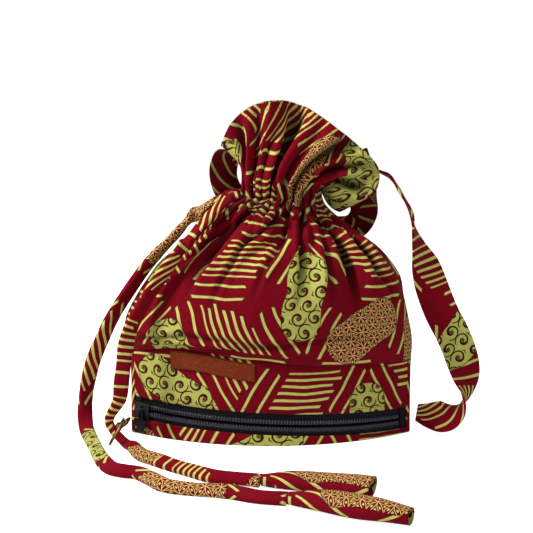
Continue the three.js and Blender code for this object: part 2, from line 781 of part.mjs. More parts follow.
// Strands of the drawcord from the left eyelet over the side of the bag to the floor
const throughRing = (run) => [
  ringCentre.x + 0.62 * run,
  ringCentre.y - 0.47 * run,
  ringCentre.z - 0.63 * run,
];
const strandA = [
  [-26.6, -5.4, 205], [-34.4, -8, 202.4], [-44, -16, 195], [-55, -26, 184], [-67, -33, 171], [-80, -35, 156], [-93, -37, 137],
  [-106, -38, 117], [-115, -39, 100], [-120, -40, 84], [-122, -41, 68], [-124, -42, 52], [-126, -42, 38],
  throughRing(-11), throughRing(11), [-113, -64, 5.6], [-104, -84, 5.2], [-90, -98, 5], [-78, -110, 5],
  [-62, -124, 5], [-46, -137, 5], [-26, -143, 5], [-8, -149, 5],
];
const strandB = [
  [-25.6, 4.6, 205], [-32, 2, 205], [-43, -2, 201], [-59, -6, 192], [-72, -6, 181], [-85, -6, 167], [-98, -6, 153],
  [-109, -6, 140], [-122, -5, 121], [-136, -4, 99], [-144, -2, 82], [-152, 0, 64], [-157, 2, 47],
  [-160, 3, 31], [-161, 1, 16], [-159, -8, 6.5], [-154, -28, 5], [-144, -63, 5], [-134, -97, 5],
  [-124, -118, 5], [-113, -126, 5], [-102, -130, 5], [-91, -143, 5], [-78, -160, 5], [-56, -168, 5],
  [-30, -174, 5], [-8, -185, 5], [11, -189, 5],
];
addPiece('drawstring_rear', cordSolid(strandA, cordSection, 42), cotton);
addPiece('drawstring_front', cordSolid(strandB, cordSection, 50), cotton);

// Cloth ends of the strands: tubes that widen towards an open mouth
function cordEnd(stations) {
  const axis = new THREE.CatmullRomCurve3(stations.map((s) => new THREE.Vector3(...s.at)));
  const rows = [[], []];
  const steps = 8;
  for (let j = 0; j <= steps; j += 1) {
    const t = j / steps;
    const centre = axis.getPoint(t);
    const along = axis.getTangent(t);
    const level = new THREE.Vector3(-along.y, along.x, 0).normalize();
    const upward = new THREE.Vector3().crossVectors(along, level).normalize();
    const place = t * (stations.length - 1);
    const low = Math.min(Math.floor(place), stations.length - 2);
    const wide = THREE.MathUtils.lerp(stations[low].wide, stations[low + 1].wide, place - low);
    const high = THREE.MathUtils.lerp(stations[low].high, stations[low + 1].high, place - low);
    rows.forEach((list, k) => {
      const ringPoints = [];
      for (let i = 0; i < 16; i += 1) {
        const angle = (i / 16) * 2 * Math.PI;
        ringPoints.push(centre.clone()
          .addScaledVector(level, (wide / 2 - k * cordEndWall) * Math.cos(angle))
          .addScaledVector(upward, (high / 2 - k * cordEndWall) * Math.sin(angle)));
      }
      list.push(ringPoints);
    });
  }
  return sheetSolid(rows[0], rows[1], true);
}

const rearEnd = [
  { at: [-7, -149.4, 5.4], wide: 9, high: 8 },
  { at: [14, -154, 6.4], wide: 20, high: 11 },
  { at: [45, -162, 6.8], wide: 26, high: 12.5 },
  { at: [74, -172, 7], wide: 27, high: 13 },
];
const frontEnd = [
  { at: [12, -189.3, 5.4], wide: 9, high: 8 },
  { at: [38, -200, 6.8], wide: 22, high: 12 },
  { at: [68, -216, 7.2], wide: 24, high: 13.5 },
  { at: [96, -229, 6.2], wide: 13, high: 11 },
];
addPiece('cord_end_rear', cordEnd(rearEnd), cotton);
addPiece('cord_end_front', cordEnd(frontEnd), cotton);

// Wide shoulder strap from the rim on the right to the right corner of the base
const strapTurn = 0.812;
const strapRoot = rimPoint(Math.PI * (1 + strapTurn));
const shoulderStations = [
  { at: [strapRoot.x + 1.4, 2, strapRoot.z], across: [0.3, 1, -0.2] },
  { at: [strapRoot.x + 10.3, 2, strapRoot.z - 5], across: [0.2, 1, -0.3] },
  { at: [strapRoot.x + 18.8, 2, strapRoot.z - 17], across: [0.1, 1, 0] },
  { at: [strapRoot.x + 27.8, 2, strapRoot.z - 33], across: [0, 1, 0] },
  { at: [121, 3, 176], across: [0.15, 1, 0] },
  { at: [126, 2, 160], across: [0.5, 0.9, 0] },
  { at: [132, 1, 143], across: [0.85, 0.5, 0.2] },
  { at: [138, 0, 124], across: [1, 0.15, 0.2] },
  { at: [146, 0, 104], across: [1, 0, 0.4] },
  { at: [156, 0, 85], across: [1, 0, 0.4] },
  { at: [163, 0, 68], across: [1, 0.1, 0.3] },
  { at: [168, -1, 50], across: [0.9, 0.5, 0.2] },
  { at: [168, -4, 34], across: [0.5, 0.9, 0] },
  { at: [162, -8, 22], across: [0.2, 1, 0.3] },
  { at: [150, -10, 15.5], across: [0.1, 0.7, 0.8] },
  { at: [baseHalfLength + 16.4, -8, 15.3], across: [0, 0.1, 1] },
  { at: [baseHalfLength + 5.4, -4, 17], across: [0, 0, 1] },
];
addPiece('shoulder_strap', ribbon(shoulderStations, strapWidth, strapThickness, 48), cotton);

// Carrying handle, sewn at both ends to the back of the mouth and hanging down behind the neck
const handleLift = handleThickness / 2 + gap + 2.7;
function handleSeat(turn, share) {
  const point = flarePoint(Math.PI * (1 - turn), share);
  return [point.x, point.y + handleLift, point.z];
}

const handleStations = [
  { at: handleSeat(0.11, 0.82), across: [0.6, -0.15, 0.7] },
  { at: [-38, 19, 235], across: [0.9, 0, 0.3] },
  { at: [-41, 30, 219], across: [1, 0, 0] },
  { at: [-36, 34, 204], across: [0.9, 0.1, 0.4] },
  { at: [-22, 42, 190], across: [0.4, 0.1, 0.9] },
  { at: [0, 50, 180], across: [0.1, -0.2, 1] },
  { at: [26, 53, 174], across: [0, -0.3, 1] },
  { at: [52, 49, 170], across: [-0.2, -0.2, 1] },
  { at: [72, 42, 172], across: [-0.7, 0, 0.7] },
  { at: [81, 36, 184], across: [-1, 0, 0.1] },
  { at: [80, 29, 199], across: [-1, 0, -0.1] },
  { at: [78, 24, 219], across: [-0.9, 0, -0.2] },
  { at: handleSeat(0.74, 0.9), across: [-0.8, 0, -0.5] },
];
addPiece('carry_handle', ribbon(handleStations, handleWidth, handleThickness, 40), cottonDark);

export default bag;
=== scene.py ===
"""Looks of a printed cotton tote bag with a drawcord neck and a zipped base."""

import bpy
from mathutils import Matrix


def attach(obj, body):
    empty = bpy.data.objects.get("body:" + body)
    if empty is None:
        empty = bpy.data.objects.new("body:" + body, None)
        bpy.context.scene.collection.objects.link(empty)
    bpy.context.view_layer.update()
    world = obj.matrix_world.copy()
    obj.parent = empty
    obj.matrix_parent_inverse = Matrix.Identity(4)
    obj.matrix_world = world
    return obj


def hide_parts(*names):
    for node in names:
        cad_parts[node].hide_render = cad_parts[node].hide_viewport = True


bl_info = {
    "name": "Printed Tote Bag",
    "version": (1, 0, 0),
    "blender": (4, 5, 0),
    "location": "3D Viewport > Sidebar > Tote Bag",
    "description": "Builds the cloth, zipper, straps and stage of a drawcord tote bag",
    "category": "Object",
}

import math

import bmesh
import bpy
import numpy as np
from bpy.props import FloatProperty, FloatVectorProperty, PointerProperty
from mathutils import Matrix, Vector

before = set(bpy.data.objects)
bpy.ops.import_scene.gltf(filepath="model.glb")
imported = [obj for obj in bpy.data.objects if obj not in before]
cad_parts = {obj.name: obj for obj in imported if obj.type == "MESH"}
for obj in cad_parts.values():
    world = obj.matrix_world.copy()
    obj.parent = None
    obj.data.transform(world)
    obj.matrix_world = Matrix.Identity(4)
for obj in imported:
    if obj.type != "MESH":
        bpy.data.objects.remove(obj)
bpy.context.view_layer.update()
MM = 0.001
TAU = 2 * math.pi


def srgb(r, g, b):
    """A colour written as 0 to 255 values, as the linear values that shaders use."""
    out = []
    for c in (r, g, b):
        c = c / 255
        out.append(c / 12.92 if c <= 0.04045 else ((c + 0.055) / 1.055) ** 2.4)
    return tuple(out)


# Settings that a user may change


def colour_setting(name, description, *rgb):
    """A colour that a user may change, with its default as 0 to 255 values."""
    return FloatVectorProperty(
        name=name, description=description, subtype="COLOR", size=3, default=srgb(*rgb), min=0, max=1)


def length_setting(name, description, default, low, high):
    """A length in metres that a user may change."""
    return FloatProperty(
        name=name, description=description, unit="LENGTH", default=default, min=low, max=high)


class ClothSettings(bpy.types.PropertyGroup):
    """Colours and scale of the printed cotton."""

    ground: colour_setting("Ground", "Crimson ground of the print", 117, 0, 20)
    bar: colour_setting("Bars", "Yellow green of bars and scrolls", 202, 194, 104)
    line: colour_setting("Lattice", "Tan of the star lattice", 232, 186, 112)
    outline: colour_setting("Outline", "Dark edge round each motif", 62, 2, 14)
    cell: length_setting("Block side", "Side of one rhombus of the print", 0.075, 0.01, 0.3)
    patch: length_setting("Star size", "Size of one star of the lattice", 0.0122, 0.002, 0.1)
    thickness: length_setting("Cloth thickness", "Thickness of the body cloth", 0.0012, 0.0002, 0.003)


class ZipperSettings(bpy.types.PropertyGroup):
    """Sizes of the coil zipper."""

    pitch: length_setting("Coil pitch", "Distance between two loops of the coil", 0.0025, 0.001, 0.005)
    wire: length_setting("Coil wire", "Diameter of the coil's monofilament", 0.00105, 0.0003, 0.002)


class StageSettings(bpy.types.PropertyGroup):
    """Camera and light of the studio."""

    elevation: FloatProperty(
        name="Camera elevation", description="Angle of view above the floor", subtype="ANGLE",
        default=math.radians(9), min=0, max=1.5)
    lens: FloatProperty(
        name="Lens", description="Focal length of the camera in millimetres", unit="CAMERA",
        default=85, min=10, max=300)
    key_power: FloatProperty(
        name="Key light", description="Power from which all three lamps are scaled", unit="POWER",
        default=15, min=0, max=200)
    world_strength: FloatProperty(
        name="Surround light", description="Strength of the even light all round",
        default=0.09, min=0, max=3)


# Sizes shared by the pieces of the bag, in mm

ARC_RADIUS = 190.0
HALF_DEPTH = 48.0
TIP_RADIUS = 10.0
ARC_CENTRE = ARC_RADIUS - HALF_DEPTH
TIP_X = math.sqrt((ARC_RADIUS - TIP_RADIUS) ** 2 - ARC_CENTRE ** 2)
TANGENT = math.atan2(TIP_X, ARC_CENTRE)
HALF_LENGTH = TIP_X + TIP_RADIUS
SEAM_LINE = [(-HALF_LENGTH, 70.5), (-88, 79), (-14, 72.5), (48, 66.5), (83, 66), (HALF_LENGTH, 63.5)]
ZIP_Z = 17.5
ZIP_TILT = math.radians(2.4)
ZIP_ANGLE = TANGENT - 4.6 / ARC_RADIUS
NECK_Z = 203.0
NECK_HALF = (31.0, 20.0)
NECK_X = 9.3
SEAM_Z = 69.5
PLEATS = 14
PLEAT_DEPTH = 1.9
GATHERS = 14.5
CREASE_DEPTH = 1.75
SEAM_GAP = 0.15
FLARE_ANGLES = (-50.0, 104.0)
CORD_INSET = 6.765
CASING_HALF = 11.0
TAPE_INSET = 2.1
TAPE_SLIT = 0.95
UPPER_TAPE_SHOWN = 10.5
LOWER_TAPE_SHOWN = 8.3
UPPER_TAPE_EDGE = 16.0
LOWER_TAPE_EDGE = -11.5
TAPE_THICKNESS = 0.9
TAPE_OVERLAP = 0.3
COIL_HALF = 117.0
COIL_MIDDLE = 3.06
COIL_REACH = 1.615
COIL_DEPTH = 0.56
COIL_SLANT = 0.55
INNER_FLOOR_Z = 60.0
FLARE_RISE = 62.0
FLARE_HEIGHT = 75.0
LABEL_WIDTH = 74.0
LABEL_HEIGHT = 15.5
LABEL_DROP = 2.2
LABEL_ANGLE = math.radians(-15)
RING_RADIUS = 12.0
RING_LEAN = math.radians(29)
TAB_WIDTH = 7.0
STRAND_WIDTH = 12.8
STRAND_THICKNESS = 6.2
STRAP_WIDTH = 29.0
HANDLE_WIDTH = 24.0
STRAP_THICKNESS = 2.4
FLOOR_HALF = 4000.0

# The print: chance below which a block has bars, and below which its patch has the star lattice
BARRED_SHARE = 0.52
LATTICE_SHARE = 0.8
COS_30 = 0.866

# Camera in metres, its sensor in millimetres, and the point in metres that the lamps face
CAMERA_PLACE = (-0.003646, -1.056827, 0.311089)
SENSOR_WIDTH = 36.0
LIGHT_AIM = (0.0, 0.0, 0.12)

LEFT = [(69.5, HALF_LENGTH), (80, 125.5), (99, 124.5), (120, 113.5), (136, 102.5), (148, 93.5),
        (162, 77.5), (172, 66.5), (180, 56.5), (188, 46.5), (196, 34.5), (203, 21.7)]
RIGHT = [(69.5, HALF_LENGTH), (80, 121.5), (99, 118), (120, 113), (136, 109.5), (148, 101.5),
         (162, 88), (172, 73), (180, 61.5), (188, 51), (196, 43), (203, 40.3)]
DEPTH = [(69.5, 48), (80, 54), (99, 57), (120, 56), (136, 53), (148, 48.5),
         (162, 41), (172, 35), (180, 31), (188, 27), (196, 23), (203, 20)]
FLARE_RADIUS = [(-50, 67), (-27, 78), (4, 80), (17, 77), (32, 74), (48, 75), (64, 80.5), (73, 84), (79, 82),
                (86, 76), (93, 62), (104, 50)]


def smooth(x, low, high):
    """0 below low and 1 above high, with a soft rise between them."""
    t = np.clip((np.asarray(x, float) - low) / (high - low), 0, 1)
    return t * t * (3 - 2 * t)


def bell(x, middle, width):
    """1 at the middle, falling to nothing on both sides."""
    return np.exp(-((x - middle) / width) ** 2)


def blend(t, start, leaving, end, arriving):
    """A curve from start to end with the given slopes there, for t from 0 to 1."""
    t2, t3 = t ** 2, t ** 3
    return (start * (2 * t3 - 3 * t2 + 1) + leaving * (t3 - 2 * t2 + t)
            + end * (3 * t2 - 2 * t3) + arriving * (t3 - t2))


def spline(points, x):
    """A smooth curve through the listed (x, value) pairs."""
    px = np.array([p[0] for p in points], float)
    py = np.array([p[1] for p in points], float)
    slope = np.gradient(py, px)
    x = np.clip(np.asarray(x, float), px[0], px[-1])
    i = np.clip(np.searchsorted(px, x) - 1, 0, len(px) - 2)
    h = px[i + 1] - px[i]
    return blend((x - px[i]) / h, py[i], h * slope[i], py[i + 1], h * slope[i + 1])


def seam_height(x):
    """Height of the seam between the base and the body."""
    return spline(SEAM_LINE, x)


def zip_height(x):
    """Height of the zipper's middle line."""
    return ZIP_Z - math.tan(ZIP_TILT) * np.asarray(x, float)


def run_along(points):
    """Distance of each point from the first one, along their line."""
    return np.concatenate([[0], np.cumsum(np.linalg.norm(np.diff(points, axis=0), axis=1))])


def curve_points(points, count):
    """Evenly spaced points on a smooth curve through the listed ones."""
    p = np.array(points, float)
    ext = np.vstack([2 * p[0] - p[1], p, 2 * p[-1] - p[-2]])
    out = []
    for i in range(1, len(ext) - 2):
        p0, p1, p2, p3 = ext[i - 1:i + 3]
        for t in np.linspace(0, 1, 24, endpoint=False):
            out.append(0.5 * (2 * p1 + (p2 - p0) * t + (2 * p0 - 5 * p1 + 4 * p2 - p3) * t * t
                              + (3 * p1 - p0 - 3 * p2 + p3) * t ** 3))
    out.append(p[-1])
    out = np.array(out)
    run = run_along(out[:, :3])
    at = np.linspace(0, run[-1], count)
    return np.stack([np.interp(at, run, out[:, k]) for k in range(out.shape[1])], axis=1), run[-1]


# Meshes


def link(obj):
    """Adds an object to the scene."""
    bpy.context.scene.collection.objects.link(obj)
    return obj


def mesh_object(name, points, faces, uvs=None):
    """A mesh from points in mm; uvs are per point, in metres of cloth."""
    mesh = bpy.data.meshes.new(name)
    mesh.from_pydata((np.asarray(points, float) * MM).tolist(), [], [tuple(f) for f in faces])
    if uvs is not None:
        layer = mesh.uv_layers.new(name="cloth")
        index = np.empty(len(mesh.loops), np.int32)
        mesh.loops.foreach_get("vertex_index", index)
        layer.data.foreach_set("uv", np.asarray(uvs, np.float32)[index].ravel())
    mesh.polygons.foreach_set("use_smooth", [True] * len(mesh.polygons))
    mesh.update()
    return link(bpy.data.objects.new(name, mesh))


def grid_faces(rows, columns, wraps=False, start=0):
    """Quads between the points of a grid, given row by row."""
    faces = []
    for j in range(rows - 1):
        for i in range(columns if wraps else columns - 1):
            a = start + j * columns + i
            b = start + j * columns + (i + 1) % columns
            faces.append((a, b, b + columns, a + columns))
    return faces


def normals_of(grid):
    """Unit normals of a grid of points."""
    along = np.gradient(grid, axis=1)
    up = np.gradient(grid, axis=0)
    n = np.cross(along, up)
    return n / np.maximum(np.linalg.norm(n, axis=2, keepdims=True), 1e-9)


def thicken(obj, thickness):
    """Gives a sheet its thickness in mm, towards the inside."""
    solid = obj.modifiers.new("Thickness", "SOLIDIFY")
    solid.thickness = thickness * MM
    solid.offset = -1
    solid.use_even_offset = False
    bpy.context.view_layer.update()
    graph = bpy.context.evaluated_depsgraph_get()
    mesh = bpy.data.meshes.new_from_object(obj.evaluated_get(graph))
    old = obj.data
    obj.modifiers.clear()
    obj.data = mesh
    bpy.data.meshes.remove(old)
    mesh.name = obj.name


def sheet_piece(name, grid, uv, thickness, hollow=None):
    """An open sheet of cloth from a grid of points, given its thickness towards the inside, and an optional
    painted shade for each point.
    """
    rows, columns = grid.shape[:2]
    obj = mesh_object(name, grid.reshape(-1, 3), grid_faces(rows, columns), uv.reshape(-1, 2))
    if hollow is not None:
        layer = obj.data.attributes.new("hollow", "FLOAT", "POINT")
        layer.data.foreach_set("value", np.asarray(hollow, np.float32).ravel())
    thicken(obj, thickness)
    return obj


def flat_tube(name, stations, count, sides, puff, ripple, seed, caps=True):
    """A flattened tube of cloth. Stations hold x, y, z, width, thickness and the width direction."""
    line, length = curve_points(stations, count)
    centre = line[:, :3]
    along = np.gradient(centre, axis=0)
    along /= np.linalg.norm(along, axis=1, keepdims=True)
    side = line[:, 5:8].copy()
    side -= along * np.sum(side * along, axis=1, keepdims=True)
    side /= np.linalg.norm(side, axis=1, keepdims=True)
    face = np.cross(along, side)
    angle = np.arange(sides + 1) / sides * TAU
    c, s = np.cos(angle), np.sin(angle)
    across = np.sign(c) * np.abs(c) ** (2 / puff)
    through = np.sign(s) * np.abs(s) ** (2 / puff)
    run = np.linspace(0, length, count)
    wave = 1 + ripple * np.sin(run[:, None] / 7.3 + seed + 2 * np.sin(angle)[None, :]) * np.abs(s)[None, :]
    grid = (centre[:, None, :]
            + side[:, None, :] * (line[:, 3, None] / 2 * across[None, :])[:, :, None]
            + face[:, None, :] * (line[:, 4, None] / 2 * through[None, :] * wave)[:, :, None])
    wide, deep = np.median(line[:, 3]), np.median(line[:, 4])
    steps = np.hypot(np.diff(across) * wide / 2, np.diff(through) * deep / 2)
    around = np.cumsum(np.concatenate([[0], steps]))
    uv = np.zeros((count, sides + 1, 2))
    uv[:, :, 0] = around[None, :] * MM + seed * 0.37
    uv[:, :, 1] = run[:, None] * MM
    faces = grid_faces(count, sides + 1)
    if caps:
        faces.append(tuple(range(sides))[::-1])
        faces.append(tuple((count - 1) * (sides + 1) + i for i in range(sides)))
    obj = mesh_object(name, grid.reshape(-1, 3), faces, uv.reshape(-1, 2))
    welded = bmesh.new()
    welded.from_mesh(obj.data)
    bmesh.ops.remove_doubles(welded, verts=welded.verts, dist=1e-6)
    welded.to_mesh(obj.data)
    welded.free()
    return obj, centre, length


def stitch_row(name, line, normals, stitch=2.4, space=1.1, radius=0.28, lift=0.1):
    """A row of short threads that lie on the cloth along a line of points."""
    rings, sides = 5, 6
    line = np.asarray(line, float)
    normals = np.asarray(normals, float)
    run = run_along(line)
    points, faces = [], []
    at = space
    while at + stitch < run[-1]:
        marks = np.linspace(at, at + stitch, rings)
        centre = np.stack([np.interp(marks, run, line[:, k]) for k in range(3)], axis=1)
        normal = np.stack([np.interp(marks, run, normals[:, k]) for k in range(3)], axis=1)
        normal /= np.linalg.norm(normal, axis=1, keepdims=True)
        along = centre[-1] - centre[0]
        along /= max(np.linalg.norm(along), 1e-9)
        size = radius * np.array([0.25, 0.9, 1.0, 0.9, 0.25])
        rise = np.array([-0.25, 0.1, 0.2, 0.1, -0.25]) * radius + lift
        start = len(points)
        for k in range(rings):
            side = np.cross(along, normal[k])
            base = centre[k] + normal[k] * rise[k]
            for j in range(sides):
                turn = j / sides * TAU
                points.append(base + size[k] * (math.cos(turn) * side + math.sin(turn) * normal[k]))
        faces += grid_faces(rings, sides, wraps=True, start=start)
        last = start + (rings - 1) * sides
        faces += [tuple(range(start, start + sides))[::-1], tuple(range(last, last + sides))]
        at += stitch + space
    return mesh_object(name, points, faces)


def line_inside(obj, grid, material):
    """Gives the inner faces of a thickened sheet a material of their own; with the near-black lining this is
    partly painted shade for the inside of the bag.
    """
    count = (grid.shape[0] - 1) * (grid.shape[1] - 1)
    obj.data.materials.append(material)
    for face in obj.data.polygons[count:2 * count]:
        face.material_index = 1


def finish_piece(obj, material, slot, *nodes, body="bag"):
    """Gives a piece its material and its body, and hides the CAD nodes that it replaces; the slot is not
    used.
    """
    obj.data.materials.clear()
    obj.data.materials.append(material)
    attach(obj, body)
    if nodes:
        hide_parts(*nodes)
    return obj


# Shader nodes


class Field:
    """A value that runs through a node tree; arithmetic on it adds math nodes."""

    def __init__(self, tree, socket):
        self.tree = tree
        self.socket = socket

    def calc(self, operation, *others):
        node = self.tree.nodes.new("ShaderNodeMath")
        node.operation = operation
        for k, value in enumerate((self,) + others):
            if isinstance(value, Field):
                self.tree.links.new(value.socket, node.inputs[k])
            else:
                node.inputs[k].default_value = float(value)
        return Field(self.tree, node.outputs[0])

    def __add__(self, other):
        return self.calc("ADD", other)

    def __sub__(self, other):
        return self.calc("SUBTRACT", other)

    def __mul__(self, other):
        return self.calc("MULTIPLY", other)

    def __truediv__(self, other):
        return self.calc("DIVIDE", other)

    def __rsub__(self, other):
        return (self * -1) + other

    def floor(self):
        return self.calc("FLOOR")

    def fract(self):
        return self.calc("FRACT")

    def abs(self):
        return self.calc("ABSOLUTE")

    def min(self, other):
        return self.calc("MINIMUM", other)

    def max(self, other):
        return self.calc("MAXIMUM", other)

    def below(self, limit, soft):
        """1 below the limit and 0 above it, with a soft edge."""
        return ((limit - self) / soft + 0.5).max(0.0).min(1.0)

    def pick(self, yes, no):
        """yes where this is 1 and no where it is 0."""
        return self * yes + (1.0 - self) * no


def new_group(name, inputs, outputs):
    """An empty node group; inputs and outputs give each socket's kind by its label."""
    group = bpy.data.node_groups.new(name, "ShaderNodeTree")
    for sockets, way in ((inputs, "INPUT"), (outputs, "OUTPUT")):
        for label, kind in sockets.items():
            group.interface.new_socket(label, in_out=way, socket_type=f"NodeSocket{kind}")
    return group, group.nodes.new("NodeGroupInput"), group.nodes.new("NodeGroupOutput")


def set_inputs(node, values):
    """Sets values on a node's own sockets, by their labels."""
    for label, value in values.items():
        node.inputs[label].default_value = value


def noise_node(tree, vector, scale, detail):
    """Adds a noise texture."""
    node = tree.nodes.new("ShaderNodeTexNoise")
    set_inputs(node, {"Scale": scale, "Detail": detail})
    tree.links.new(vector, node.inputs["Vector"])
    return node


def group_node(tree, label, maker, vector):
    """Adds a node group, which is made at its first use and shared after that."""
    node = tree.nodes.new("ShaderNodeGroup")
    node.node_tree = bpy.data.node_groups.get(label) or maker()
    tree.links.new(vector, node.inputs["Vector"])
    return node


def mix_colour(tree, factor, a, b, blend="MIX"):
    """The colour between a and b, each a field, a socket or a colour."""
    node = tree.nodes.new("ShaderNodeMix")
    node.data_type = "RGBA"
    node.blend_type = blend
    for value, socket in ((factor, node.inputs["Factor"]), (a, node.inputs[6]), (b, node.inputs[7])):
        if isinstance(value, Field):
            tree.links.new(value.socket, socket)
        elif isinstance(value, bpy.types.NodeSocket):
            tree.links.new(value, socket)
        else:
            socket.default_value = value if isinstance(value, (int, float)) else (*value[:3], 1)
    return node.outputs[2]


def triangle_grid(x, y, side):
    """Coordinates of a grid of triangles with the given side."""
    return (x - y * (1 / math.sqrt(3))) / side, y * (2 / math.sqrt(3)) / side


def star_lattice(group, x, y, unit, inks):
    """Six-petalled stars of thin lines on a grid of triangles."""
    ground, bar_ink, line_ink, outline = inks
    ga, gb = triangle_grid(x, y, unit)
    ga, gb = ga.fract(), gb.fract()
    flip = (ga + gb).calc("GREATER_THAN", 1.0)
    p1 = flip.pick(1.0 - ga, ga)
    p2 = flip.pick(1.0 - gb, gb)
    p3 = 1.0 - (p1 + p2)
    star_line = gem = None
    for one_side, left, right in ((p1, p2, p3), (p2, p3, p1), (p3, p1, p2)):
        petal = (one_side - left * right * 0.95).abs().below(0.034, 0.03)
        seed = (one_side / 0.085 + (left - right).abs() / 0.26).below(1.0, 0.25)
        star_line = petal if star_line is None else star_line.max(petal)
        gem = seed if gem is None else gem.max(seed)
    gem = gem.max(1.0 - p1.min(p2).min(p3).below(0.275, 0.02))
    lattice = mix_colour(group, 0.45, outline, ground)
    lattice = mix_colour(group, gem, lattice, bar_ink)
    return mix_colour(group, star_line, lattice, line_ink)


def scroll_print(group, x, y, unit, bar_ink, outline):
    """Pale ground with a dark scroll in each square, turning both ways in turn."""
    sx = x / (unit * 1.1)
    sy = y / (unit * 1.1) + sx.floor() * 0.5
    odd = ((sx.floor() + sy.floor()) * 0.5).fract() * 4.0 - 1.0
    kx, ky = sx.fract() - 0.5, sy.fract() - 0.5
    radius = (kx * kx + ky * ky).calc("SQRT")
    swirl = (ky.calc("ARCTAN2", kx) / TAU * odd + radius * 2.6).fract()
    tail = (swirl - 0.5).abs() * radius
    curl = tail.below(0.054, 0.02) * (1.0 - radius.below(0.1, 0.03))
    dot = radius.below(0.085, 0.03)
    leaf = mix_colour(group, 0.5, bar_ink, (0.3, 0.38, 0.06))
    return mix_colour(group, curl.max(dot), leaf, outline)


def print_group():
    """Crimson cloth printed with blocks of bars, and with patches of star lattice and of scrolls."""
    kinds = {"Vector": "Vector", "Cell": "Float", "Patch": "Float", "Ground": "Color", "Bar": "Color",
             "Line": "Color", "Outline": "Color"}
    group, source, sink = new_group("Cloth print", kinds, {"Color": "Color", "Ink": "Float"})
    new = group.nodes.new
    wire = group.links.new
    vector, _, _, ground, bar_ink, line_ink, outline = (source.outputs[label] for label in kinds)
    bend = noise_node(group, vector, 26, 1)
    shift = new("ShaderNodeVectorMath")
    shift.operation = "MULTIPLY_ADD"
    wire(bend.outputs["Color"], shift.inputs[0])
    shift.inputs[1].default_value = (0.006, 0.006, 0)
    wire(vector, shift.inputs[2])
    split = new("ShaderNodeSeparateXYZ")
    wire(shift.outputs[0], split.inputs[0])
    x, y = Field(group, split.outputs[0]), Field(group, split.outputs[1])

    # Tumbling blocks: triangles of a grid, paired into rhombi round the corners of class 0
    a, b = triangle_grid(x, y, Field(group, source.outputs["Cell"]))
    i, j = a.floor(), b.floor()
    fa, fb = a - i, b - j
    upper = (fa + fb).calc("GREATER_THAN", 1.0)
    u = upper.pick(1.0 - fa, fa)
    v = upper.pick(1.0 - fb, fb)
    w = 1.0 - (u + v)
    kind = ((i - j) / 3.0).fract() * 3.0
    zero, one = kind.calc("LESS_THAN", 0.5), kind.calc("COMPARE", 1.0, 0.4)
    two = kind.calc("GREATER_THAN", 1.5)
    near_u, near_v = upper.pick(v, u), upper.pick(u, v)
    hub = zero * w + one * near_v + two * near_u
    first = zero * near_u + one * w + two * near_v
    second = 1.0 - (hub + first)
    hub_i = zero * (i + upper) + one * i + two * (i + 1.0)
    hub_j = zero * (j + upper) + one * (j + 1.0) + two * j
    joined = new("ShaderNodeCombineXYZ")
    wire(((i * 3.0 + 1.0 + upper) - hub_i).socket, joined.inputs[0])
    wire(((j * 3.0 + 1.0 + upper) - hub_j).socket, joined.inputs[1])
    noise = new("ShaderNodeTexWhiteNoise")
    noise.noise_dimensions = "2D"
    wire(joined.outputs[0], noise.inputs["Vector"])
    chance = Field(group, noise.outputs["Value"])
    tone = new("ShaderNodeSeparateColor")
    wire(noise.outputs["Color"], tone.inputs[0])
    other = Field(group, tone.outputs[1])

    # Two lines along each side of a block, broken at its corners
    edge = first.min(second)
    inner = hub.max(edge).min(first.max(second))
    turn = (inner - 0.15) / 0.015
    lines = (edge - 0.088).abs().below(0.0175, 0.007) * turn.max(0.0).min(1.0)
    line_edge = (edge - 0.088).abs().below(0.028, 0.01) * (turn + 1.0).max(0.0).min(1.0)

    # Bars of uneven length across some blocks
    across = upper.pick(1.0 - second, first)
    along = upper.pick(1.0 - first, second)
    swap = other.calc("GREATER_THAN", 0.5)
    side = swap.pick(across, along)
    run = swap.pick(along, across)
    count = side * 11.0
    bars = (count.fract() - 0.5).abs()
    length = (count.floor() * 2.39996 + chance * 40.0).calc("SINE") * 0.04 + 0.8
    short = (count.floor() * 0.08 - 0.36) * (chance * 13.0).fract().calc("GREATER_THAN", 0.5)
    room = side.below(0.78, 0.01) * (1.0 - side.below(0.222, 0.01))
    room = room * (1.0 - run.below(0.2, 0.01))
    barred = chance.calc("LESS_THAN", BARRED_SHARE)
    bar = bars.below(0.19, 0.06) * run.below(length + short.min(0.0), 0.01) * room * barred
    bar_edge = bars.below(0.29, 0.08) * run.below(length + short.min(0.0) + 0.02, 0.02) * room * barred

    colour = mix_colour(group, bar_edge.max(line_edge) * 0.8, ground, outline)
    colour = mix_colour(group, bar.max(lines), colour, bar_ink)

    # Long rounded patches along the other blocks
    lump = noise_node(group, vector, 60, 0)
    far = (hub * COS_30 - 0.29).max(0.0)
    off = (first - second) * 0.5
    reach = (far * far + off * off).calc("SQRT") + (Field(group, lump.outputs["Fac"]) - 0.5) * 0.05
    present = chance.calc("GREATER_THAN", BARRED_SHARE)
    margin = reach.below(0.232, 0.01) * present
    patch = reach.below(0.223, 0.008) * present
    scrolls = chance.calc("GREATER_THAN", LATTICE_SHARE)

    unit = Field(group, source.outputs["Patch"])
    tx, ty = x * COS_30 + y * 0.5, y * COS_30 - x * 0.5
    lattice = star_lattice(group, tx, ty, unit, (ground, bar_ink, line_ink, outline))
    scroll = scroll_print(group, tx, ty, unit, bar_ink, outline)
    filled = mix_colour(group, scrolls, lattice, scroll)
    colour = mix_colour(group, margin, colour, outline)
    colour = mix_colour(group, patch, colour, filled)

    hatch = ((x + y) * 900.0).calc("SINE") * 0.04 + 0.96
    wire(mix_colour(group, 1, colour, hatch, "MULTIPLY"), sink.inputs["Color"])
    wire(bar.max(lines).max(patch).socket, sink.inputs["Ink"])
    return group


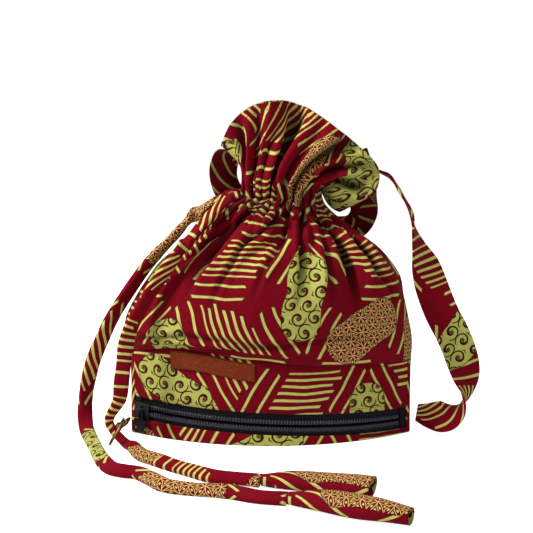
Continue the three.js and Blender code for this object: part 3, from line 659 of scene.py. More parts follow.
def weave_group():
    """Height of a plain weave, with a slow unevenness of the threads."""
    group, source, sink = new_group(
        "Weave", {"Vector": "Vector", "Thread": "Float"}, {"Height": "Float", "Shade": "Float"})
    split = group.nodes.new("ShaderNodeSeparateXYZ")
    group.links.new(source.outputs["Vector"], split.inputs[0])
    thread = Field(group, source.outputs["Thread"])
    x = Field(group, split.outputs[0]) / thread * math.pi
    y = Field(group, split.outputs[1]) / thread * math.pi
    over = x.calc("SINE") * y.calc("SINE")
    ribs = x.calc("COSINE").abs() + y.calc("COSINE").abs()
    slow = Field(group, noise_node(group, source.outputs["Vector"], 90, 4).outputs["Fac"])
    height = over * 0.35 + ribs * 0.2 + slow * 0.6
    group.links.new(height.socket, sink.inputs["Height"])
    shade = slow * 0.3 + 0.85
    group.links.new(shade.socket, sink.inputs["Shade"])
    return group


def new_material(name):
    """A material, its tree and its shader."""
    material = bpy.data.materials.new(name)
    material.use_nodes = True
    return material, material.node_tree, material.node_tree.nodes["Principled BSDF"]


def object_vector(tree):
    """Coordinates in the piece's own space."""
    return tree.nodes.new("ShaderNodeTexCoord").outputs["Object"]


def add_bump(tree, shader, height, strength, distance):
    """Roughens a surface by a height."""
    bump = tree.nodes.new("ShaderNodeBump")
    set_inputs(bump, {"Strength": strength, "Distance": distance})
    tree.links.new(height, bump.inputs["Height"])
    tree.links.new(bump.outputs[0], shader.inputs["Normal"])


def printed_cotton(name="printed cotton", painted_shade_scale=1.0):
    """Printed cotton with a fine plain weave. It takes painted shade from each point's shade attribute, and a
    factor that paints every ink of a piece darker as shade.
    """
    if name in bpy.data.materials:
        return bpy.data.materials[name]
    cloth = bpy.context.scene.tote_cloth
    material, tree, shader = new_material(name)
    cloth_map = tree.nodes.new("ShaderNodeUVMap")
    cloth_map.uv_map = "cloth"
    prints = group_node(tree, "Cloth print", print_group, cloth_map.outputs["UV"])
    inks = {"Ground": cloth.ground, "Bar": cloth.bar, "Line": cloth.line, "Outline": cloth.outline}
    set_inputs(prints, {"Cell": cloth.cell, "Patch": cloth.patch})
    # A factor below 1 paints every ink darker, as painted shade.
    set_inputs(prints, {label: (*[c * painted_shade_scale for c in colour], 1) for label, colour in inks.items()})
    weave = group_node(tree, "Weave", weave_group, cloth_map.outputs["UV"])
    set_inputs(weave, {"Thread": 0.00042})
    # Painted shade: the print is mixed towards near black by each point's shade attribute, in folds, at the
    # neck and under the lobe.
    hollow = tree.nodes.new("ShaderNodeAttribute")
    hollow.attribute_name = "hollow"
    deep = mix_colour(tree, hollow.outputs["Fac"], prints.outputs["Color"], (0.006, 0.0005, 0.001))
    shade = mix_colour(tree, 0.6, deep, weave.outputs["Shade"], "MULTIPLY")
    tree.links.new(shade, shader.inputs["Base Color"])
    rough = Field(tree, prints.outputs["Ink"]) * -0.12 + 0.86
    tree.links.new(rough.socket, shader.inputs["Roughness"])
    set_inputs(shader, {"Sheen Weight": 0.01, "Sheen Roughness": 0.5, "Specular IOR Level": 0.08})
    add_bump(tree, shader, weave.outputs["Height"], 0.35, 0.0002)
    return material


def woven(name, colour, thread, roughness=0.85, bump=0.5):
    """Plain cloth or tape of one colour, with its weave."""
    if name in bpy.data.materials:
        return bpy.data.materials[name]
    material, tree, shader = new_material(name)
    weave = group_node(tree, "Weave", weave_group, object_vector(tree))
    set_inputs(weave, {"Thread": thread})
    worn = Field(tree, weave.outputs["Shade"]) * 2.2 - 1.6
    tint = mix_colour(tree, worn, [c * 0.62 for c in colour], colour)
    tree.links.new(tint, shader.inputs["Base Color"])
    set_inputs(shader, {"Roughness": roughness, "Specular IOR Level": 0.15})
    add_bump(tree, shader, weave.outputs["Height"], bump, 0.0003)
    return material


def crimson_thread():
    return woven("crimson thread", srgb(120, 10, 30), 0.0003)


# Lining of the bag: a real part, but its near-black tone is partly painted shade for the inside of the bag.
def shaded_lining():
    return woven("dark lining", srgb(34, 5, 11), 0.0005)


def smooth_solid(name, colour, roughness, grain, bump, metallic=0.0, distance=0.0002, wear=0.2, gloss=0.5):
    """Metal, nylon or leather: a colour with fine grain, mottling and bump."""
    if name in bpy.data.materials:
        return bpy.data.materials[name]
    material, tree, shader = new_material(name)
    noise = noise_node(tree, object_vector(tree), grain, 5)
    value = Field(tree, noise.outputs["Fac"])
    dark = [c * (1 - wear) for c in colour]
    pale = [min(1, c * (1 + wear)) for c in colour]
    tint = mix_colour(tree, (value - 0.35) * 2.6, dark, pale)
    tree.links.new(tint, shader.inputs["Base Color"])
    tree.links.new((value * 0.25 + (roughness - 0.12)).socket, shader.inputs["Roughness"])
    set_inputs(shader, {"Metallic": metallic, "Specular IOR Level": gloss})
    add_bump(tree, shader, noise.outputs["Fac"], bump, distance)
    return material


# The bag's cloth


def pleat_wave(bearing, height):
    """How far the gathers swell the body, in mm."""
    growth = smooth(height, 95, 185)
    drift = 0.8 * np.sin(2 * bearing + 0.7)
    main = np.sin(PLEATS * bearing + drift)
    small = 0.35 * np.sin((PLEATS / 2 + 2) * bearing + 2.1)
    return PLEAT_DEPTH * growth * (main + small)


def body_outline(bearing, height):
    """Points round the body at a height, with its long folds."""
    left, right, depth = spline(LEFT, height), spline(RIGHT, height), spline(DEPTH, height)
    power = 1 + 0.35 * (1 - smooth(height, SEAM_Z, 150))
    c, s = np.cos(bearing), np.sin(bearing)
    swell = pleat_wave(bearing, height)
    x = (right - left) / 2 + ((right + left) / 2 + swell) * c
    y = (depth + swell) * np.sign(s) * np.abs(s) ** power
    reach = smooth(np.abs(s), 0.02, 0.35) * (1 - smooth(height, 185, 200))
    sink = np.where(s < 0, fold_depth(x, height, FRONT_FOLDS), fold_depth(x, height, BACK_FOLDS))
    return np.stack([x, y - np.sign(s) * reach * sink, np.broadcast_to(height, x.shape)], axis=-1)


def rim_line(bearing):
    """Points of the flared mouth's edge."""
    front = bearing > math.pi
    turn = np.where(front, bearing - math.pi, math.pi - bearing) / math.pi
    side = np.where(front, -1.0, 1.0)
    angle = FLARE_ANGLES[0] + (FLARE_ANGLES[1] - FLARE_ANGLES[0]) * turn
    radius = spline(FLARE_RADIUS, angle)
    opened = np.sin(math.pi * np.clip(turn, 0, 1)).clip(0)
    ruffle = 3.2 * np.sin(turn * 21 + np.where(front, 0, 1.4)) * opened
    crease = 9 * bell(turn, 0.4, 0.035)
    lobe = 9 * bell(turn, 0.9, 0.06)
    y = side * (1.5 + 15 * opened ** 0.6 - crease + lobe) + ruffle
    a = np.radians(angle)
    return np.stack([NECK_X + radius * np.sin(a), y, NECK_Z + radius * np.cos(a)], axis=-1)


def flare_points(bearing, t):
    """Points of the mouth, from the neck at t = 0 to the rim at t = 1."""
    start = body_outline(bearing, np.full_like(bearing, NECK_Z))
    start[..., 2] += 5
    end = rim_line(bearing)
    rise = np.array([0, 0, FLARE_RISE])
    outward = end - np.array([NECK_X, 0, NECK_Z])
    outward[..., 1] = 0
    outward *= FLARE_RISE / np.linalg.norm(outward, axis=-1, keepdims=True)
    return blend(t, start, rise, end, outward)


# Long folds of the body: a line in X and Z, half its width and its depth, in mm
FRONT_FOLDS = [
    ([(27, 197), (0, 168), (-36, 143)], 7.5, 5.5),
    ([(30, 197), (32, 158), (28, 112)], 7.0, 5.0),
    ([(40, 192), (66, 150), (72, 104)], 10.0, 7.0),
    ([(-6, 199), (-58, 162), (-88, 122)], 8.0, 4.5),
]
BACK_FOLDS = [
    ([(22, 197), (36, 150), (50, 100)], 9.0, 5.5),
    ([(6, 197), (-12, 150), (-30, 98)], 9.0, 5.5),
    ([(-8, 198), (-46, 164), (-78, 112)], 9.0, 4.5),
]


# Sharp creases that only the cloth shows, on the front and on the back
FRONT_CREASES = [
    ([(23, 199), (3, 186), (-15, 173), (-37, 156)], 2.6, 4.2),
    ([(-7, 201), (-29, 186), (-53, 168), (-72, 148)], 2.4, 3.0),
    ([(-12, 197), (-40, 171), (-62, 144), (-75, 115)], 2.8, 3.2),
    ([(27, 200), (25, 175), (26, 150), (20, 108)], 2.4, 3.6),
    ([(40, 190), (54, 173), (65, 148), (72, 108)], 3.4, 4.6),
    ([(42, 196), (66, 173), (84, 155), (95, 128)], 2.4, 2.8),
    ([(14, 200), (10, 171), (-7, 148), (-17, 118)], 2.2, 2.4),
    ([(36, 196), (46, 167), (49, 144), (50, 115)], 2.4, 2.6),
    ([(2, 200), (-14, 180), (-40, 140), (-56, 104)], 2.2, 2.0),
    ([(-18, 198), (-52, 178), (-84, 150), (-104, 118)], 2.2, 2.0),
    ([(48, 188), (80, 160), (100, 130), (108, 100)], 2.2, 2.0),
    ([(-118, 84), (-70, 92), (-20, 88), (30, 80)], 3.0, 1.6),
    ([(-60, 80), (-10, 84), (60, 92), (112, 84)], 3.0, 1.2),
]
BACK_CREASES = [
    ([(22, 199), (32, 170), (44, 130), (52, 96)], 2.6, 3.4),
    ([(6, 200), (-8, 160), (-20, 130), (-32, 96)], 2.6, 3.4),
    ([(-8, 200), (-46, 166), (-72, 130), (-80, 108)], 2.6, 3.0),
    ([(34, 197), (64, 168), (84, 138), (96, 108)], 2.6, 3.0),
    ([(14, 200), (12, 160), (8, 130), (10, 100)], 2.2, 2.2),
]


# Folds of the mouth: place along the rim, drift towards the rim, depth in mm and width
MOUTH_FOLDS = [
    (0.40, 0.00, 7.0, 0.030), (0.10, 0.03, 4.5, 0.024), (0.20, 0.02, 4.0, 0.020), (0.30, 0.03, 5.0, 0.022),
    (0.51, -0.02, 4.5, 0.026), (0.60, 0.05, 7.0, 0.026), (0.70, 0.08, 7.0, 0.028), (0.84, 0.02, 6.0, 0.030),
]


def mouth_depth(bearing, level):
    """How far the cloth of the mouth sinks into its folds, in mm."""
    turn = np.where(bearing > math.pi, bearing - math.pi, math.pi - bearing) / math.pi
    t = np.clip((level - NECK_Z - 5) / FLARE_HEIGHT, 0, 1)
    total = np.zeros(np.broadcast(turn, t).shape)
    for place, drift, deep, wide in MOUTH_FOLDS:
        off = (turn - place - drift * t) / (wide * (0.6 + 0.9 * t))
        total += deep * (bell(off, 0, 1) - 0.5 * bell(np.abs(off), 2, 1))
    return total * smooth(t, 0, 0.12) * (1 - 0.55 * smooth(t, 0.75, 1))


def fold_depth(x, z, folds, sharp=False):
    """How far each point sinks into the folds, in mm."""
    total = np.zeros(np.broadcast(x, z).shape)
    for line, wide, deep in folds:
        nearest = np.full(total.shape, 1e9)
        share = np.zeros(total.shape)
        for i, ((ax, az), (bx, bz)) in enumerate(zip(line, line[1:])):
            rx, rz = bx - ax, bz - az
            t = np.clip(((x - ax) * rx + (z - az) * rz) / (rx * rx + rz * rz), 0, 1)
            d = np.hypot(x - ax - t * rx, z - az - t * rz)
            near = d < nearest
            nearest = np.where(near, d, nearest)
            share = np.where(near, (i + t) / (len(line) - 1), share)
        strength = smooth(share, 0, 0.1) * (1 - smooth(share, 0.55, 1))
        valley = np.exp(-nearest / wide) if sharp else bell(nearest, 0, wide)
        total += deep * strength * (valley - 0.45 * bell(nearest, 1.9 * wide, wide))
    return total


def soft_noise(a, b, seed):
    """A smooth unevenness from a few crossed waves, about -1 to 1."""
    rng = np.random.default_rng(seed)
    total = np.zeros(np.broadcast(a, b).shape)
    for _ in range(9):
        fa, fb, phase = rng.uniform(-1, 1), rng.uniform(-1, 1), rng.uniform(0, TAU)
        total += np.sin(a * fa + b * fb + phase)
    return total / 4


def plain_tube(bearing, body_rows, flare_rows):
    """Points of the tube before its fine folds, row by row, and the height of each row."""
    rows, heights = [], []
    share = np.linspace(0, 1, body_rows)
    base = body_outline(bearing, np.full_like(bearing, SEAM_Z))
    for s in share:
        level = SEAM_Z + (NECK_Z - SEAM_Z) * s
        row = body_outline(bearing, np.full_like(bearing, level))
        low = seam_height(base[:, 0]) + SEAM_GAP
        lift = (low - SEAM_Z) * (1 - smooth(s, 0, 0.16))
        row[:, 2] += lift
        rows.append(row)
        heights.append(level)
    for z in (1.2, 2.5, 3.8):
        row = body_outline(bearing, np.full_like(bearing, NECK_Z))
        row[:, 2] += z
        rows.append(row)
        heights.append(NECK_Z + z)
    for t in np.linspace(0, 1, flare_rows + 1):
        rows.append(flare_points(bearing, t))
        heights.append(NECK_Z + 5 + t * FLARE_HEIGHT)
    return np.array(rows), np.array(heights)[:, None]


def cloth_coordinates(grid, bearing, level):
    """Where each point lies on the flat cloth, in metres, measured over the finished folds."""
    belly = np.argmin(np.abs(level[:, 0] - 100))
    around = run_along(grid[belly])
    middle = np.interp(1.5 * math.pi, bearing, around)
    up = np.concatenate([np.zeros((1, len(bearing))),
                         np.cumsum(np.linalg.norm(np.diff(grid, axis=0), axis=2), axis=0)])
    up = up.mean(axis=1, keepdims=True) * 0.6 + up * 0.4
    squeeze = 1 - 0.42 * smooth(level, 110, NECK_Z) + 0.25 * smooth(level, NECK_Z + 8, 270)
    return np.stack([((around - middle) * squeeze - 30) * MM, up * MM], axis=-1)


def body_grid(columns=320, body_rows=92, flare_rows=44):
    """Points and cloth coordinates of the whole tube, from the seam to the rim, and the painted shade of each
    point.
    """
    bearing = np.linspace(1e-4, TAU - 1e-4, columns + 1)
    grid, level = plain_tube(bearing, body_rows, flare_rows)
    normal = normals_of(grid)
    edge_fade = smooth(np.abs(np.sin(bearing)), 0.02, 0.35)
    neck = bell(level, NECK_Z, 20)
    ripples = np.sin(GATHERS * bearing + 0.8 * np.sin(level / 19) + 0.7 * np.sin(3 * bearing))
    fine = (2.2 - 8.5 * (1 - np.abs(ripples)) ** 2.4) * neck
    fine = fine - mouth_depth(bearing, level)
    creases = np.where(grid[..., 1] < 0, fold_depth(grid[..., 0], grid[..., 2], FRONT_CREASES, True),
                       fold_depth(grid[..., 0], grid[..., 2], BACK_CREASES, True))
    fine = fine - CREASE_DEPTH * creases * edge_fade * (1 - smooth(level, 188, 202))
    # Painted shade: darkness painted into the cloth's colour in the hollows of the folds, round the gathered
    # neck and under the mouth's right lobe.
    front_turn = (bearing - math.pi) / math.pi
    under = 0.45 * bell(front_turn, 0.95, 0.1) * smooth(level, 212, 235) * (1 - smooth(level, 262, 282))
    gather = 0.4 * bell(level, NECK_Z - 2, 14)
    hollow = np.clip(-fine / 5.0, 0, 1) ** 0.8 * 0.85 + gather + under
    lumps = soft_noise(grid[..., 0] / 9, grid[..., 2] / 9, 3) * 0.55 * (1 - 0.6 * neck)
    puff = smooth(level, SEAM_Z, 84) * 0.8
    flare = smooth(level, 214, 262)
    flutes = np.abs(np.sin(6.5 * bearing + 0.9 * np.sin(level / 21))) - 0.6
    flutes = flare * 3.2 * flutes * edge_fade
    grid += normal * (fine + lumps * puff + flutes)[..., None]
    uv = cloth_coordinates(grid, bearing, level)
    return grid, uv, np.clip(hollow, 0, 0.85)


def wall_grid(line, low, high, rows, wobble=0.0, seed=1):
    """A strip of wall over a plan line, between two heights, each one value or one for every point."""
    low, high = (np.broadcast_to(height, len(line)) for height in (low, high))
    share = np.linspace(0, 1, rows)[:, None]
    z = low * (1 - share) + high * share
    grid = np.zeros((rows, len(line), 3))
    grid[..., 0], grid[..., 1], grid[..., 2] = line[None, :, 0], line[None, :, 1], z
    run = run_along(line)
    if wobble:
        fade = np.sin(math.pi * share) ** 0.5
        grid += normals_of(grid) * (wobble * soft_noise(run[None, :] / 11, z / 9, seed) * fade)[..., None]
    return grid, np.stack(np.broadcast_arrays(run * MM, z * MM), axis=-1)


def front_arc(radius, angle):
    """X and Y of points on a circle about the middle of the base's front arc."""
    return radius * np.sin(angle), ARC_CENTRE - radius * np.cos(angle)


def front_line(inset, half_angle, count):
    """Plan of the curved front wall."""
    return np.stack(front_arc(ARC_RADIUS - inset, np.linspace(-half_angle, half_angle, count)), axis=1)


def wall_top(x):
    """Upper edge of the base's walls, just under the seam."""
    return seam_height(x) - SEAM_GAP


def back_line(inset, count=220):
    """Plan of the two tips and the curved back wall."""
    tip = np.linspace(TANGENT + 0.015, math.pi - TANGENT, 24)
    r = TIP_RADIUS - inset
    left = np.stack([-TIP_X - r * np.sin(tip), -r * np.cos(tip)], axis=1)
    a = np.linspace(-TANGENT, TANGENT, count - 48)
    r = ARC_RADIUS - inset
    back = np.stack([r * np.sin(a), r * np.cos(a) - ARC_CENTRE], axis=1)
    right = left[::-1] * np.array([-1, 1])
    return np.concatenate([left, back[1:-1], right])


# Building steps


def add_camera(scene, stage):
    """The camera that takes the photograph's view."""
    camera = bpy.data.cameras.new("camera")
    camera.lens = stage.lens
    camera.sensor_width = SENSOR_WIDTH
    view = link(bpy.data.objects.new("camera", camera))
    view.location = CAMERA_PLACE
    view.rotation_euler = (math.pi / 2 - stage.elevation, 0, 0)
    scene.camera = view


def add_surround(scene, stage):
    """Weak even light all round, which looks white to the camera and in reflections."""
    world = bpy.data.worlds.new("surround")
    scene.world = world
    world.use_nodes = True
    tree = world.node_tree
    back = tree.nodes["Background"]
    back.inputs["Color"].default_value = (1, 1, 1, 1)
    path = tree.nodes.new("ShaderNodeLightPath")
    seen = Field(tree, path.outputs["Is Camera Ray"]).max(Field(tree, path.outputs["Is Glossy Ray"]))
    seen = seen.max(Field(tree, path.outputs["Is Transmission Ray"]))
    strength = seen * (1 - stage.world_strength) + stage.world_strength
    tree.links.new(strength.socket, back.inputs["Strength"])


def add_lamps(stage):
    """A small strong lamp from the left, a wide weak one from the right and one from above."""
    for name, place, width, power in (
        ("key", (-1.0, -0.4, 1.05), 0.32, stage.key_power * 1.55),
        ("fill", (0.75, -1.2, 0.75), 0.8, stage.key_power * 0.36),
        ("top", (0.1, 0.2, 1.3), 0.8, stage.key_power * 0.4),
    ):
        lamp = bpy.data.lights.new(name, "AREA")
        lamp.size = width
        lamp.energy = power
        light = link(bpy.data.objects.new(name, lamp))
        light.location = place
        aim = Vector(LIGHT_AIM) - Vector(place)
        light.rotation_euler = aim.to_track_quat("-Z", "Y").to_euler()


def add_floor():
    """A white floor that glows to the camera alone."""
    corners = [(x * FLOOR_HALF, y * FLOOR_HALF, -0.05) for x, y in ((-1, -1), (1, -1), (1, 1), (-1, 1))]
    floor = mesh_object("floor", corners, [(0, 1, 2, 3)])
    material, tree, shader = new_material("white floor")
    set_inputs(shader, {"Base Color": (0.86, 0.86, 0.86, 1), "Roughness": 1, "Specular IOR Level": 0})
    out = tree.nodes["Material Output"]
    glow = tree.nodes.new("ShaderNodeEmission")
    glow.inputs["Strength"].default_value = 0.9
    both = tree.nodes.new("ShaderNodeAddShader")
    tree.links.new(shader.outputs[0], both.inputs[0])
    tree.links.new(glow.outputs[0], both.inputs[1])
    pick = tree.nodes.new("ShaderNodeMixShader")
    path = tree.nodes.new("ShaderNodeLightPath")
    tree.links.new(path.outputs["Is Camera Ray"], pick.inputs["Fac"])
    tree.links.new(shader.outputs[0], pick.inputs[1])
    tree.links.new(both.outputs[0], pick.inputs[2])
    tree.links.new(pick.outputs[0], out.inputs["Surface"])
    floor.data.materials.append(material)


class TOTE_OT_stage(bpy.types.Operator):
    """Adds the camera, the soft light and the white floor"""

    bl_idname = "tote.stage"
    bl_label = "Stage"

    def execute(self, context):
        stage = context.scene.tote_stage
        add_camera(context.scene, stage)
        add_surround(context.scene, stage)
        add_lamps(stage)
        add_floor()
        return {"FINISHED"}


class TOTE_OT_body(bpy.types.Operator):
    """Builds the gathered body and the flared mouth"""

    bl_idname = "tote.body"
    bl_label = "Body and mouth"

    def execute(self, context):
        grid, uv, hollow = body_grid()
        body = sheet_piece("body_cloth", grid, uv, context.scene.tote_cloth.thickness / MM, hollow=hollow)
        finish_piece(body, printed_cotton(), "printed_cotton", "body_front", "body_back")
        normal = normals_of(grid)
        hem = stitch_row("hem_stitches", grid[-5, ::2], normal[-5, ::2], 2.4, 1.2, 0.22, 0.12)
        finish_piece(hem, crimson_thread(), "printed_cotton")
        return {"FINISHED"}


class TOTE_OT_base(bpy.types.Operator):
    """Builds the walls, the bottom and the inner floor of the zipped base"""

    bl_idname = "tote.base"
    bl_label = "Base walls"

    def execute(self, context):
        thick = context.scene.tote_cloth.thickness / MM
        cotton, lining = printed_cotton(), shaded_lining()
        line = front_line(0, TANGENT - 0.0008, 240)
        zip_line = zip_height(line[:, 0])
        band, band_uv = wall_grid(line, zip_line + UPPER_TAPE_SHOWN, wall_top(line[:, 0]), 26, 0.5, 5)
        strip, strip_uv = wall_grid(line, 0.25, zip_line - LOWER_TAPE_SHOWN, 9, 0.2, 8)
        line = back_line(0)
        wall, wall_uv = wall_grid(line, 0.0, wall_top(line[:, 0]), 30, 0.5, 11)
        wall, wall_uv = wall[:, ::-1], wall_uv[:, ::-1]
        for name, node, grid, uv, shift in (
            ("band_cloth", "band_front", band, band_uv, (0.012, 0.31)),
            ("strip_cloth", "base_strip_front", strip, strip_uv, (0.05, 0.62)),
            ("back_wall_cloth", "band_back", wall, wall_uv, (0.4, 0.9)),
        ):
            piece = sheet_piece(name, grid, uv + np.array(shift), thick)
            finish_piece(piece, cotton, "printed_cotton", node)
            line_inside(piece, grid, lining)
        for name, node, inset, height, depth, up in (
            ("base_cloth", "base_panel", 3.7, 0.0, 2.4, False),
            ("floor_cloth", "inner_floor", 1.7, INNER_FLOOR_Z, 1.0, True),
        ):
            back = back_line(inset)
            front = front_line(inset, TANGENT, len(back))
            share = np.linspace(0, 1, 40)[:, None, None]
            flat = front[None] * (1 - share) + back[None] * share
            level = height + (depth if up else 0) + 0.25 * (-1 if up else 1) * np.abs(soft_noise(
                flat[..., 0] / 21, flat[..., 1] / 17, 13)) * np.sin(math.pi * share[..., 0])
            sheet = np.concatenate([flat, level[..., None]], axis=2)
            sheet = sheet if up else sheet[::-1]
            piece = sheet_piece(name, sheet, sheet[..., :2] * MM + 0.7, depth)
            finish_piece(piece, lining if up else cotton, "lining_cotton", node)
            line_inside(piece, sheet, lining)
        normal = normals_of(band)
        for name, row in (("band_stitches_low", 2), ("band_stitches_high", 23)):
            finish_piece(stitch_row(name, band[row], normal[row]), crimson_thread(), "printed_cotton")
        return {"FINISHED"}


class TOTE_OT_zipper(bpy.types.Operator):
    """Builds the tapes and the two coils of the zipper"""

    bl_idname = "tote.zipper"
    bl_label = "Zipper"

    def execute(self, context):
        zipper = context.scene.tote_zipper
        black = smooth_solid("black nylon", srgb(58, 55, 66), 0.16, 900, 0.05)
        tape = woven("black tape", srgb(11, 11, 17), 0.0006, 0.75, bump=0.8)
        level = Matrix.Translation((0, 0, ZIP_Z * MM)) @ Matrix.Rotation(ZIP_TILT, 4, "Y")
        line = front_line(TAPE_INSET, ZIP_ANGLE, 260)
        for name, node, low, high in (
            ("tape_cloth_upper", "zipper_tape_upper", TAPE_SLIT, UPPER_TAPE_EDGE),
            ("tape_cloth_lower", "zipper_tape_lower", LOWER_TAPE_EDGE, -TAPE_SLIT),
        ):
            sheet, uv = wall_grid(line, low, high, 14, 0.15, 3)
            piece = sheet_piece(name, sheet, uv, TAPE_THICKNESS)
            piece.data.transform(level)
            finish_piece(piece, tape, "black_nylon", node)
        for name, sign in (("tape_end_left", -1), ("tape_end_right", 1)):
            a = sign * np.linspace(ZIP_ANGLE - 0.012, TANGENT - 0.002, 8)
            line = np.stack(front_arc(ARC_RADIUS - TAPE_THICKNESS, a), axis=1)[::sign]
            low = zip_height(line[:, 0]) - LOWER_TAPE_SHOWN - TAPE_OVERLAP
            high = zip_height(line[:, 0]) + UPPER_TAPE_SHOWN + TAPE_OVERLAP
            end, uv = wall_grid(line, low, high, 6)
            finish_piece(sheet_piece(name, end, uv, 0.5), tape, "black_nylon")
        pitch, wire = zipper.pitch / MM, zipper.wire / MM
        base = ARC_RADIUS - TAPE_INSET + 0.3
        for side, node in ((1, "zipper_coil_upper"), (-1, "zipper_coil_lower")):
            loops, steps = int(2 * COIL_HALF / pitch), 12
            k = np.arange(loops * steps) / steps
            turn = (k % 1) * TAU
            s = -COIL_HALF + k * pitch + (0 if side > 0 else pitch / 2)
            s = s + COIL_SLANT * side * np.cos(turn)
            z = COIL_MIDDLE - COIL_REACH * np.cos(turn)
            r = base + 1.08 + COIL_DEPTH * np.sin(turn)
            line = np.stack([*front_arc(r, s / base), z * side], axis=1)
            coil = tube_mesh(f"coil_{'upper' if side > 0 else 'lower'}", line, wire / 2, 6)
            coil.data.transform(level)
            finish_piece(coil, black, "black_nylon", node)
        return {"FINISHED"}


def tube_mesh(name, line, radius, sides, closed=False):
    """A round tube along a line of points, in mm."""
    line = np.asarray(line, float)
    count = len(line)
    if closed:
        along = np.roll(line, -1, axis=0) - np.roll(line, 1, axis=0)
    else:
        along = np.gradient(line, axis=0)
    along /= np.linalg.norm(along, axis=1, keepdims=True)
    side = np.cross(along[0], [0.3, 0.5, 0.81])
    frames = []
    for t in along:
        side = side - t * np.dot(side, t)
        side /= np.linalg.norm(side)
        frames.append((side.copy(), np.cross(t, side)))
    radius = np.broadcast_to(radius, (count,))
    points = []
    for k, (first, second) in enumerate(frames):
        for j in range(sides):
            turn = j / sides * TAU
            points.append(line[k] + radius[k] * (math.cos(turn) * first + math.sin(turn) * second))
    faces = grid_faces(count, sides, wraps=True)
    if closed:
        last = (count - 1) * sides
        faces += [(last + j, last + (j + 1) % sides, (j + 1) % sides, j) for j in range(sides)]
    else:
        faces += [tuple(range(sides))[::-1], tuple((count - 1) * sides + j for j in range(sides))]
    return mesh_object(name, points, faces)


class TOTE_OT_label(bpy.types.Operator):
    """Builds the leather label and its stitches"""

    bl_idname = "tote.label"
    bl_label = "Label"

    def execute(self, context):
        radius = ARC_RADIUS + 0.3
        place = np.linspace(-0.5, 0.5, 80)
        a = LABEL_ANGLE + place * LABEL_WIDTH / radius
        share = np.linspace(0, 1, 18)[:, None]
        top = seam_height(radius * np.sin(a)) - LABEL_DROP
        z = top[None, :] - LABEL_HEIGHT * (1 - share)
        side_edge = (0.5 - np.abs(place))[None, :] * LABEL_WIDTH
        edge = np.minimum(np.minimum(share, 1 - share) * LABEL_HEIGHT, side_edge)
        crown = 1.15 - 0.6 * np.exp(-edge / 0.5) + 0.12 * np.sin(np.linspace(0, 9, 80))[None, :]
        r = radius + crown
        grid = np.stack([*front_arc(r, a), z], axis=-1)
        uv = grid[..., [0, 2]] * MM
        label = sheet_piece("leather_label", grid, uv, 0.9)
        leather = smooth_solid("brown leather", srgb(116, 44, 14), 0.62, 520, 0.5, distance=0.0004, wear=0.32,
                               gloss=0.12)
        finish_piece(label, leather, "brown_leather", "label_patch")
        normal = normals_of(grid)
        dark = woven("dark thread", srgb(50, 20, 16), 0.0003)
        row = stitch_row("label_stitches", grid[-2, 1:-1], normal[-2, 1:-1], 2.2, 0.9, 0.3)
        finish_piece(row, dark, "brown_leather")
        return {"FINISHED"}


RING_CENTRE = np.array([-HALF_LENGTH - 7.4, -46.0, 0.9 + 13 * math.cos(RING_LEAN)])
THROUGH_RING = np.array([0.62, -0.47, -0.63])
RING_IN = list(RING_CENTRE - 11 * THROUGH_RING)
RING_OUT = list(RING_CENTRE + 11 * THROUGH_RING)
STRAND_REAR = [
    [-26.6, -5.4, 205], [-34.4, -8, 202.4], [-44, -16, 195], [-55, -26, 184], [-67, -33, 171],
    [-80, -35, 156],
    [-93, -37, 137], [-106, -38, 117], [-115, -39, 100], [-120, -40, 84], [-122, -41, 68], [-124, -42, 52],
    [-126, -42, 38], RING_IN, RING_OUT, [-113, -64, 5.6], [-104, -84, 5.2], [-90, -98, 5],
    [-78, -110, 5], [-62, -124, 5], [-46, -137, 5], [-26, -143, 5], [-8, -149, 5],
]
STRAND_FRONT = [
    [-25.6, 4.6, 205], [-32, 2, 205], [-43, -2, 201], [-59, -6, 192], [-72, -6, 181], [-85, -6, 167],
    [-98, -6, 153], [-109, -6, 140], [-122, -5, 121], [-136, -4, 99], [-144, -2, 82], [-152, 0, 64],
    [-157, 2, 47], [-160, 3, 31], [-161, 1, 16], [-159, -8, 6.5], [-154, -28, 5], [-144, -63, 5],
    [-134, -97, 5], [-124, -118, 5], [-113, -126, 5], [-102, -130, 5], [-91, -143, 5], [-78, -160, 5],
    [-56, -168, 5], [-30, -174, 5], [-8, -185, 5], [11, -189, 5],
]


def strand_stations(route, wide, thick):
    """Stations of a strand: flat to the viewer in the air, level on the floor and narrow at the ring."""
    stations = []
    for k, (x, y, z) in enumerate(route):
        grounded = z < 8
        near = min(1.0, k / 3) * (1 + 0.1 * math.sin(k * 2.3 + wide))
        gap = math.dist((x, y, z), RING_CENTRE)
        pinch = 0.6 + 0.4 * float(smooth(np.array(gap), 9, 36))
        width = (8 + (wide - 8) * near) * pinch
        if grounded:
            before, after = route[max(k - 1, 0)], route[min(k + 1, len(route) - 1)]
            dx, dy = after[0] - before[0], after[1] - before[1]
            size = math.hypot(dx, dy)
            across = (-dy / size, dx / size, 0.35)
        else:
            across = (0.75 + 0.3 * math.sin(k * 1.1), 0.3 + 0.3 * math.cos(k * 0.9), 0.45)
        stations.append([x, y, z - (0.6 if grounded else 0), width, thick * (0.4 + 0.6 * pinch), *across])
    return stations


